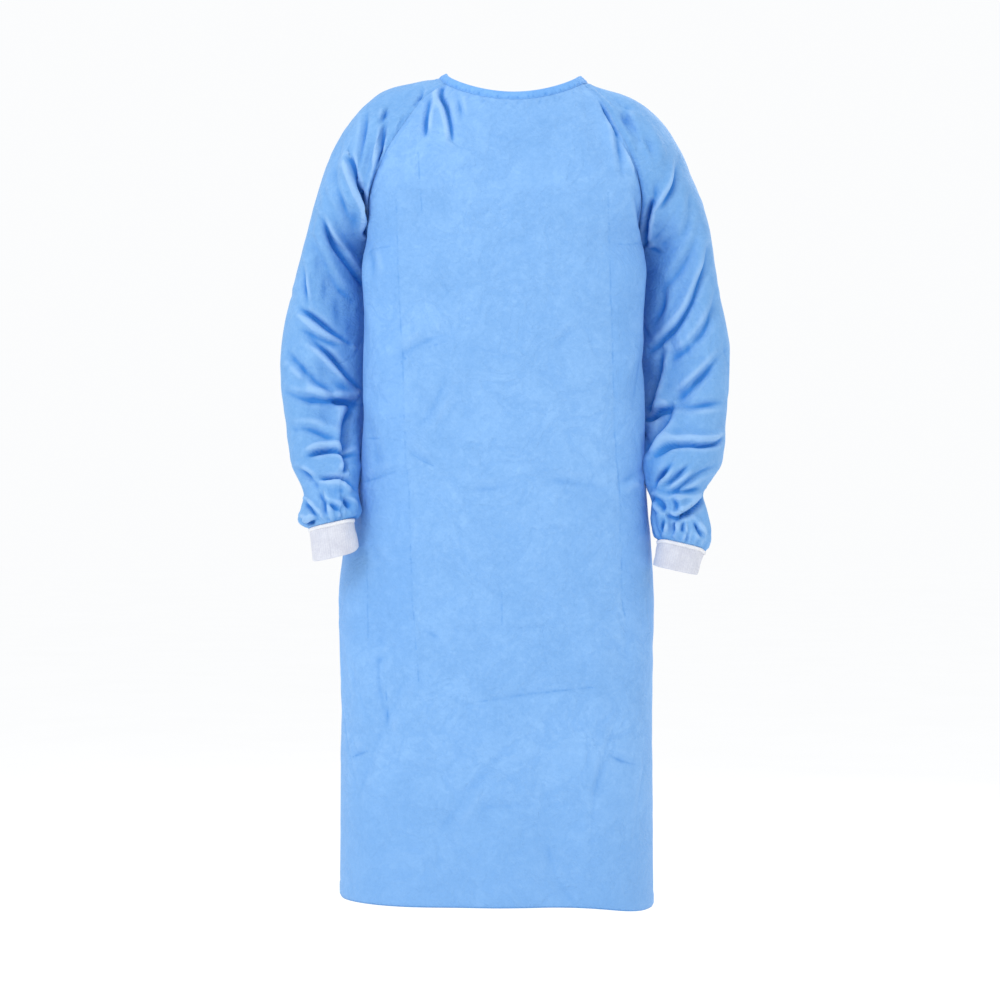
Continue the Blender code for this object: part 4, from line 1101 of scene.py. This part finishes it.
(neck_edge, edge_out), (collar_foot, foot_out) = neck_line(0), neck_line(1)
binding_run, lines = evened([neck_edge, edge_out, collar_foot, foot_out], 0.0015)
neck_edge, edge_out, collar_foot, foot_out = (softened(line, 8) for line in lines)
edge_out, foot_out = unit(edge_out), unit(foot_out)
rise = unit(neck_edge - collar_foot)
leaf = np.linspace(0, 1, 12)
turn = np.linspace(0, np.pi, 9)[1:-1]
beat = binding_run + 0.0016 * np.sin(binding_run * 150 + 2) + 0.0009 * np.sin(binding_run * 410)
wave = np.sin(2 * np.pi * beat / 0.0083) + 0.6 * np.sin(2 * np.pi * beat / 0.0131 + 1)
half = WALL / 2 + BINDING_LIES
rows = []
gathered = 0.0009 * wave * np.exp(-(((leaf[:, None] - 0.30) / 0.26) ** 2))
for side in (1, -1):
    share = leaf[:, None, None]
    place = collar_foot * (1 - share) + neck_edge * share
    out = unit(foot_out * (1 - share) + edge_out * share)
    drawn = 0.00042 * np.exp(-(((leaf - LEAF_STITCH) / 0.05) ** 2))
    drawn += 0.0006 * np.exp(-((leaf / 0.035) ** 2))
    lift = BINDING_LIES - drawn[:, None] + 0.5 * gathered + 0.0004 * np.sin(np.pi * leaf[:, None])
    lift = lift if side > 0 else -WALL - BINDING_LIES + 0 * lift
    rows.append(place + out * lift[..., None])
top = (neck_edge - edge_out * (WALL / 2))[None] + half * (
    np.cos(turn)[:, None, None] * edge_out + 1.2 * np.sin(turn)[:, None, None] * rise)
strip = np.concatenate([rows[0], top, rows[1][::-1]])
# Painted shade in the troughs of the binding's puckers.
dips = np.zeros(strip.shape[:2])
dips[:len(leaf)] = np.clip(-gathered * 420, 0, 0.5)
neck_binding = grid_piece("neck_binding_strip", strip, binding_cloth, thick=SHELL, painted_shade=dips)
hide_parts("neck_binding")
stitch_row = rows[0][2] + foot_out * 0.00045
binding_stitches = stitches("neck_binding_stitches", stitch_row, foot_out, 0.0028, thread)

# The tab closes the neck at the back, and the two ties are drawn round the waist and
# knotted there. All are flat folded strips of the cloth, stitched along their edges.
TIE_STITCH = 0.0024  # from a tie's edge to its stitches
tie_cloth = cloth_finish("tie_cloth", colour(136, 188, 247), colour(102, 160, 228),
                         panel=False)


def strip_lines(node, along, across, steps):
    """The middle line of a flat strip and the way across it, from its solid's corners."""
    shape = bmesh.new()
    shape.from_mesh(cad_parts[node].data)
    bmesh.ops.remove_doubles(shape, verts=shape.verts, dist=1e-6)
    places = np.array([v.co for v in shape.verts])
    shape.free()
    fours = places[places[:, along].argsort()].reshape(-1, 4, 3)
    fours = np.array([four[four[:, across].argsort()] for four in fours])
    low, high = (spline(fours[:, k:k + 2].mean(axis=1), steps) for k in (0, 2))
    return (low + high) / 2, high - low


def flat_strip(name, middle, across, thick, finish, node, crinkle, drawn=()):
    """A folded strip along its middle line. It is drawn narrow and gathered near each of
    the places in drawn, which are 0 or 1 for its ends. Its stitches run along one edge,
    or along both on a tab."""
    rows = len(middle)
    run = np.concatenate([[0], np.cumsum(np.linalg.norm(np.diff(middle, axis=0), axis=1))])
    way = unit(np.gradient(middle, axis=0))
    out = unit(np.cross(way, across))
    centre = np.stack([np.zeros(rows), np.zeros(rows), middle[:, 2]], axis=1)
    if ((middle - centre) * out).sum() < 0:
        out = -out
    half = np.linalg.norm(across, axis=1) / 2
    gathered = np.zeros(rows)
    for end in drawn:
        gathered += np.exp(-((np.abs(run - end * run[-1]) / 0.022) ** 2))
    half = half * (1 - 0.36 * np.minimum(gathered, 1))
    sine = np.sin(np.linspace(-np.pi / 2, np.pi / 2, 25))
    round_it = (1 - np.abs(sine) ** 5) ** 0.5
    x = half[:, None] * np.concatenate([sine, sine[-2:0:-1]])
    level = np.concatenate([round_it, -round_it[-2:0:-1]]) * thick / 2
    face = np.concatenate([np.ones(25), np.zeros(23)])
    groove = np.exp(-(((half[:, None] - TIE_STITCH - x) / 0.0008) ** 2)) * face
    fine = tilted_waves(x, run[:, None] + 0 * x, 81, 0.05, 0.014, 14)
    pleats = np.sin(x / np.maximum(half[:, None], 1e-6) * 8.2 + 0.7)
    bow = crinkle * fine * 0.8 + 0.0009 * pleats * gathered[:, None]
    y = level - 0.0003 * groove + bow * smooth(0.0, 0.012, run[-1] - run)[:, None]
    points = (middle[:, None] + unit(across)[:, None] * x[..., None] + out[:, None] * y[..., None])
    # Painted shade in the troughs of the gathered pleats and in the stitch groove.
    dips = 0.5 * np.clip(-pleats, 0, 1) * gathered[:, None] + 0.22 * groove
    piece = grid_piece(name, points, finish, rings=True, painted_shade=np.clip(dips, 0, 1))
    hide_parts(node)
    seam = (np.abs(x[0] - half[0] + TIE_STITCH) + 9 * (1 - face)).argmin()
    keep = np.array(gathered < 0.4)
    return piece, points[keep, seam] + out[keep] * 0.0001, out[keep], out


def tie(node, along, across, tail, drawn, reach):
    """A tie or one of its loose ends, which runs on into the knot by its reach."""
    middle, breadth = strip_lines(node, along, across, 84)
    end = -1 if tail else 0
    step = unit((middle[end] - middle[end - 1] if tail else middle[0] - middle[1])[None])[0]
    more = middle[end] + step * np.linspace(reach / 4, reach, 4)[:, None]
    more_breadth = np.repeat(breadth[end][None], 4, axis=0)
    if tail:
        middle, breadth = np.vstack([middle, more]), np.vstack([breadth, more_breadth])
    else:
        middle, breadth = np.vstack([more[::-1], middle]), np.vstack([more_breadth, breadth])
    piece, seam, seam_out, _ = flat_strip(f"{node}_strip", middle, breadth, 0.0011, tie_cloth,
                                          node, 0.0005, drawn)
    sewn = stitches(f"{node}_stitches", seam, seam_out, 0.0030, thread)


middle, breadth = strip_lines("neck_tab", 0, 2, 40)
tab, seam, seam_out, tab_out = flat_strip("neck_tab_strip", middle, breadth, 0.0014,
                                          binding_cloth, "neck_tab", 0.0001)
step = unit(breadth) * (np.linalg.norm(breadth, axis=1, keepdims=True) / 2 - 0.0020)
box = np.vstack([(middle + step)[3:-3], (middle - step)[-4:3:-1], (middle + step)[3:4]])
box_out = np.vstack([tab_out[3:-3], tab_out[-4:3:-1], tab_out[3:4]])
tab_stitches = stitches("neck_tab_stitches", box + box_out * 0.00060, box_out, 0.0028,
                        thread)
tie("waist_tie_left", 0, 2, True, (1,), 0.008)
tie("waist_tie_right", 0, 2, False, (0,), 0.008)
tie("tie_end_left", 2, 0, True, (1,), 0.007)
tie("tie_end_right", 2, 0, True, (1,), 0.007)

# The knot: one tie wrapped round the other, each drawn in to a bundle of creases.
KNOT_WRAPS = [  # name, slant, half height, half depth, breadth, share of the lump's bulge
    ("waist_knot_wrap", 0.20, 0.0135, 0.0050, 0.0200, 1.0),
    ("waist_knot_turn", -0.95, 0.0140, 0.0040, 0.0150, 0.7),
]
low, high = (np.array(corner, float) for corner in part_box("waist_knot"))
knot_middle = (low + high) / 2
for number, (name, slant, tall, depth, broad, bulge) in enumerate(KNOT_WRAPS):
    turn = np.linspace(0, 2 * np.pi, 72, endpoint=False)[:, None]
    sine = np.sin(np.linspace(-np.pi / 2, np.pi / 2, 25))
    round_it = (1 - np.abs(sine) ** 4) ** 0.5
    x = np.concatenate([sine, sine[-2:0:-1]])[None] * broad / 2 * (1 + 0.10 * np.cos(2 * turn + number))
    level = np.concatenate([round_it, -round_it[-2:0:-1]])[None] * 0.0006
    rise = level + bulge * 0.0016 * (1 - (2 * x / broad) ** 2)
    pleats = np.sin(x * 1300 + 0.9 * np.sin(turn + number))
    rise = rise + 0.0007 * pleats + 0.0003 * np.sin(x * 3100 + 2 * turn)
    up = (tall + rise) * np.cos(turn)
    back = (depth + rise) * np.sin(turn)
    side = x * math.cos(slant) + up * math.sin(slant)
    up = up * math.cos(slant) - x * math.sin(slant)
    points = knot_middle + np.stack([side, back, up], axis=-1)
    # Painted shade in the pleats' troughs and on the rolled edges of the wrap.
    rolled = np.abs(x) > 0.46 * broad
    wrap = grid_piece(name, points, tie_cloth, rings=True, loop=True,
                      painted_shade=0.5 * np.clip(-pleats, 0, 1) + 0.35 * rolled)
    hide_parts("waist_knot")

# The cuffs are short tubes of white rib knit, doubled over at the wrist's end, and joined
# to the sleeves by an overlocked seam whose threads stand up as a bright band.
RIBS = 56
CUFF_ROUND = RIBS * 6
CUFFS = {  # from the seam down: the inner point, the outer point and the depth
    "left": [(0.2146, -0.100, -0.6337, 0.2757, -0.100, -0.6475, 0.026),
             (0.2096, -0.103, -0.6550, 0.2725, -0.103, -0.6700, 0.025),
             (0.2057, -0.105, -0.6785, 0.2701, -0.105, -0.6935, 0.026)],
    "right": [(0.2152, -0.064, -0.6645, 0.2810, -0.064, -0.6800, 0.026),
              (0.2110, -0.066, -0.6820, 0.2750, -0.066, -0.6960, 0.025),
              (0.2080, -0.067, -0.6990, 0.2700, -0.067, -0.7125, 0.026)],
}


def knit_finish(name, light, dark, courses):
    made = Finish(name, Specular_IOR_Level=0.25, Sheen_Weight=0.35, Sheen_Roughness=0.6)
    u, v = made.uv()
    body = made.place()
    shade = made.noise(body, 60.0, 3.0, 0.6) * 0.6 + made.noise(body, 420.0, 2.0, 0.7) * 0.4
    tone = made.mix(shade.step(0.3, 0.7), dark, light)
    # Painted shade, a greyer white, in the knit's grooves.
    tone = made.mix(made.shade_and_marks("painted_shade") * 0.16, tone, colour(186, 190, 208))
    loops = (v * (2 * math.pi / courses) + (u * (2 * math.pi / 0.0014)).sine() * 1.3).sine()
    return made.paint(tone, made.bump(loops, 0.00025, 0.55), 0.86 + shade * 0.08)


cuff_knit = knit_finish("cuff_knit", colour(231, 234, 244), colour(211, 214, 228), 0.0011)
overlock = knit_finish("overlock_thread", colour(252, 252, 255), colour(236, 238, 246), 0.0009)


def cuff_ring(inner, outer, deep):
    """One ring of the cuff, evenly spread, from its inner point round the front."""
    t = np.linspace(0, 1, 200)[:, None]
    ahead, aside = np.array([0, -deep * 4 / 3, 0]), 3 * (1 - t) * t
    over = (1 - t) ** 2 * (1 + 2 * t) * inner + t**2 * (3 - 2 * t) * outer
    line = np.vstack([over + aside * ahead, (over - aside * ahead)[-2::-1]])
    return evened([line], np.linalg.norm(np.diff(line, axis=0), axis=1).sum()
                  / (CUFF_ROUND + 0.5))[1][0][:CUFF_ROUND]


def cuff(side, way, corner, seam_at, seed):
    table = spline(np.array(CUFFS[side]), 44)
    table[:, [0, 3]] *= way
    tube = np.array([cuff_ring(row[0:3], row[3:6], row[6]) for row in table])
    out = unit(np.cross(np.gradient(tube, axis=0),
                        np.roll(tube, -1, axis=1) - np.roll(tube, 1, axis=1)))
    if (out * (tube - tube.mean(axis=1, keepdims=True))).sum() < 0:
        out = -out
    turn = np.linspace(0, 2 * np.pi, CUFF_ROUND, endpoint=False)
    shift = np.minimum(turn, 2 * np.pi - turn)
    down = np.linspace(0, 1, len(tube))[:, None]
    drawn_up = corner[0] * np.exp(-((shift / 0.5) ** 2)) + corner[1] * np.exp(
        -(((np.pi - shift) / 0.5) ** 2))
    axis = (tube[-1] - tube[0]).mean(axis=0)
    tube = tube - axis * (drawn_up * down**3)[..., None]
    tube[..., 2] += CUFF_ARCH[side] * smooth(0.1, 1.0, -out[..., 1]) * (1 - down) ** 1.5
    rib = np.cos(RIBS * turn)
    rib = np.sign(rib) * np.abs(rib) ** 0.7
    fade = smooth(0.02, 0.14, down) * (0.55 + 0.45 * smooth(1.0, 0.9, down))
    soft = tilted_waves(tube[..., 0], tube[..., 2], seed, 0.05, 0.016, 12)
    soft *= np.sin(np.pi * np.clip(down * 0.9 + 0.1, 0, 1))
    groove = np.exp(-(((turn - seam_at) * 0.0255 / 0.0011) ** 2))
    push = 0.0004 + 0.00014 * rib * fade + 0.0007 * soft - 0.0006 * groove * fade
    outer = tube + out * push[..., None]
    inner_push = 0.0004 - 0.0019 + 0.00018 * rib * fade + 0.0006 * soft
    inner = (tube + out * inner_push[..., None])[::-3]
    edge_out, edge_in = outer[-1], inner[0]
    bend = np.linspace(0, np.pi, 7)[1:-1]
    low_axis = axis / np.linalg.norm(axis)
    fold = np.array([(edge_out + edge_in) / 2 + (edge_out - edge_in) / 2 * math.cos(b)
                     + low_axis * 0.0009 * math.sin(b) for b in bend])
    points = np.concatenate([outer, fold, inner])
    # Painted shade in the rib grooves and the seam groove.
    deep = np.concatenate([(0.5 - 0.5 * rib) * fade + groove * fade,
                           np.zeros((len(fold), CUFF_ROUND)),
                           np.zeros((len(inner), CUFF_ROUND))])
    piece = grid_piece(f"cuff_{side}_knit", points, cuff_knit, rings=True, loop=True,
                       painted_shade=np.clip(deep, 0, 1))
    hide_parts(f"cuff_{side}")
    ring, ring_out = outer[1], out[1]
    round_it = np.linspace(0, 2 * np.pi, 14, endpoint=False)[:, None, None]
    slant = np.sin(78 * turn[None, :, None] + 1.1 * np.cos(round_it))
    tall = 0.0026 * (1 + 0.10 * slant)
    fat = 0.0013 * (1 + 0.24 * slant)
    band = (ring + low_axis * 0.0012 + ring_out * 0.0003
            + low_axis * np.cos(round_it) * tall + ring_out * np.sin(round_it) * fat)
    band = grid_piece(f"cuff_{side}_overlock", band, overlock, rings=True, loop=True)


cuff("left", -1, (0.16, 0.05), 1.75, 90)
cuff("right", 1, (0.03, 0.02), 5.2, 95)

# The studio: a pale floor below the hem and soft light from large panels.
floor_data = bpy.data.meshes.new("floor")
floor_data.from_pydata([(-30, -30, -1.46), (30, -30, -1.46), (30, 30, -1.46),
                        (-30, 30, -1.46)], [], [(0, 1, 2, 3)])
floor = bpy.data.objects.new("floor", floor_data)
bpy.context.scene.collection.objects.link(floor)
SKY = (0.985, 0.992, 1.0)
SKY_LIGHT = 0.985
FLOOR_SHARE = 0.85  # of the sky's light that the floor gives back; a faint glow adds the rest
floor_finish = Finish("floor", Roughness=1.0, Specular_IOR_Level=0.0,
                      Emission_Color=(*SKY, 1.0), Emission_Strength=SKY_LIGHT * (1 - FLOOR_SHARE))
haze = floor_finish.noise(floor_finish.place(), 3.0)
floor_data.materials.append(floor_finish.paint(floor_finish.mix(
    haze, (FLOOR_SHARE - 0.01,) * 3 + (1.0,), (FLOOR_SHARE + 0.01,) * 3 + (1.0,))))

LAMPS = [  # place, aim, size, watts
    ((-1.8, -2.4, 1.2), (0.0, 0.0, -0.30), 1.0, 22),
    ((0.0, 0.2, 2.6), (0.0, 0.0, -0.4), 2.0, 9),
    ((1.6, 2.8, 1.2), (0.0, 0.0, -0.6), 1.4, 18),
]
for number, (place, aim, size, watts) in enumerate(LAMPS):
    lamp_data = bpy.data.lights.new(f"panel_light_{number}", "AREA")
    lamp_data.size = size
    lamp_data.energy = watts
    lamp = bpy.data.objects.new(f"panel_light_{number}", lamp_data)
    lamp.location = place
    way = np.array(aim) - place
    lamp.rotation_euler = (math.atan2(math.hypot(way[0], way[1]), -way[2]), 0,
                           math.atan2(-way[0], way[1]))
    bpy.context.scene.collection.objects.link(lamp)

world = bpy.data.worlds.new("studio")
world.use_nodes = True
world.node_tree.nodes["Background"].inputs["Color"].default_value = (*SKY, 1.0)
world.node_tree.nodes["Background"].inputs["Strength"].default_value = SKY_LIGHT
bpy.context.scene.world = world
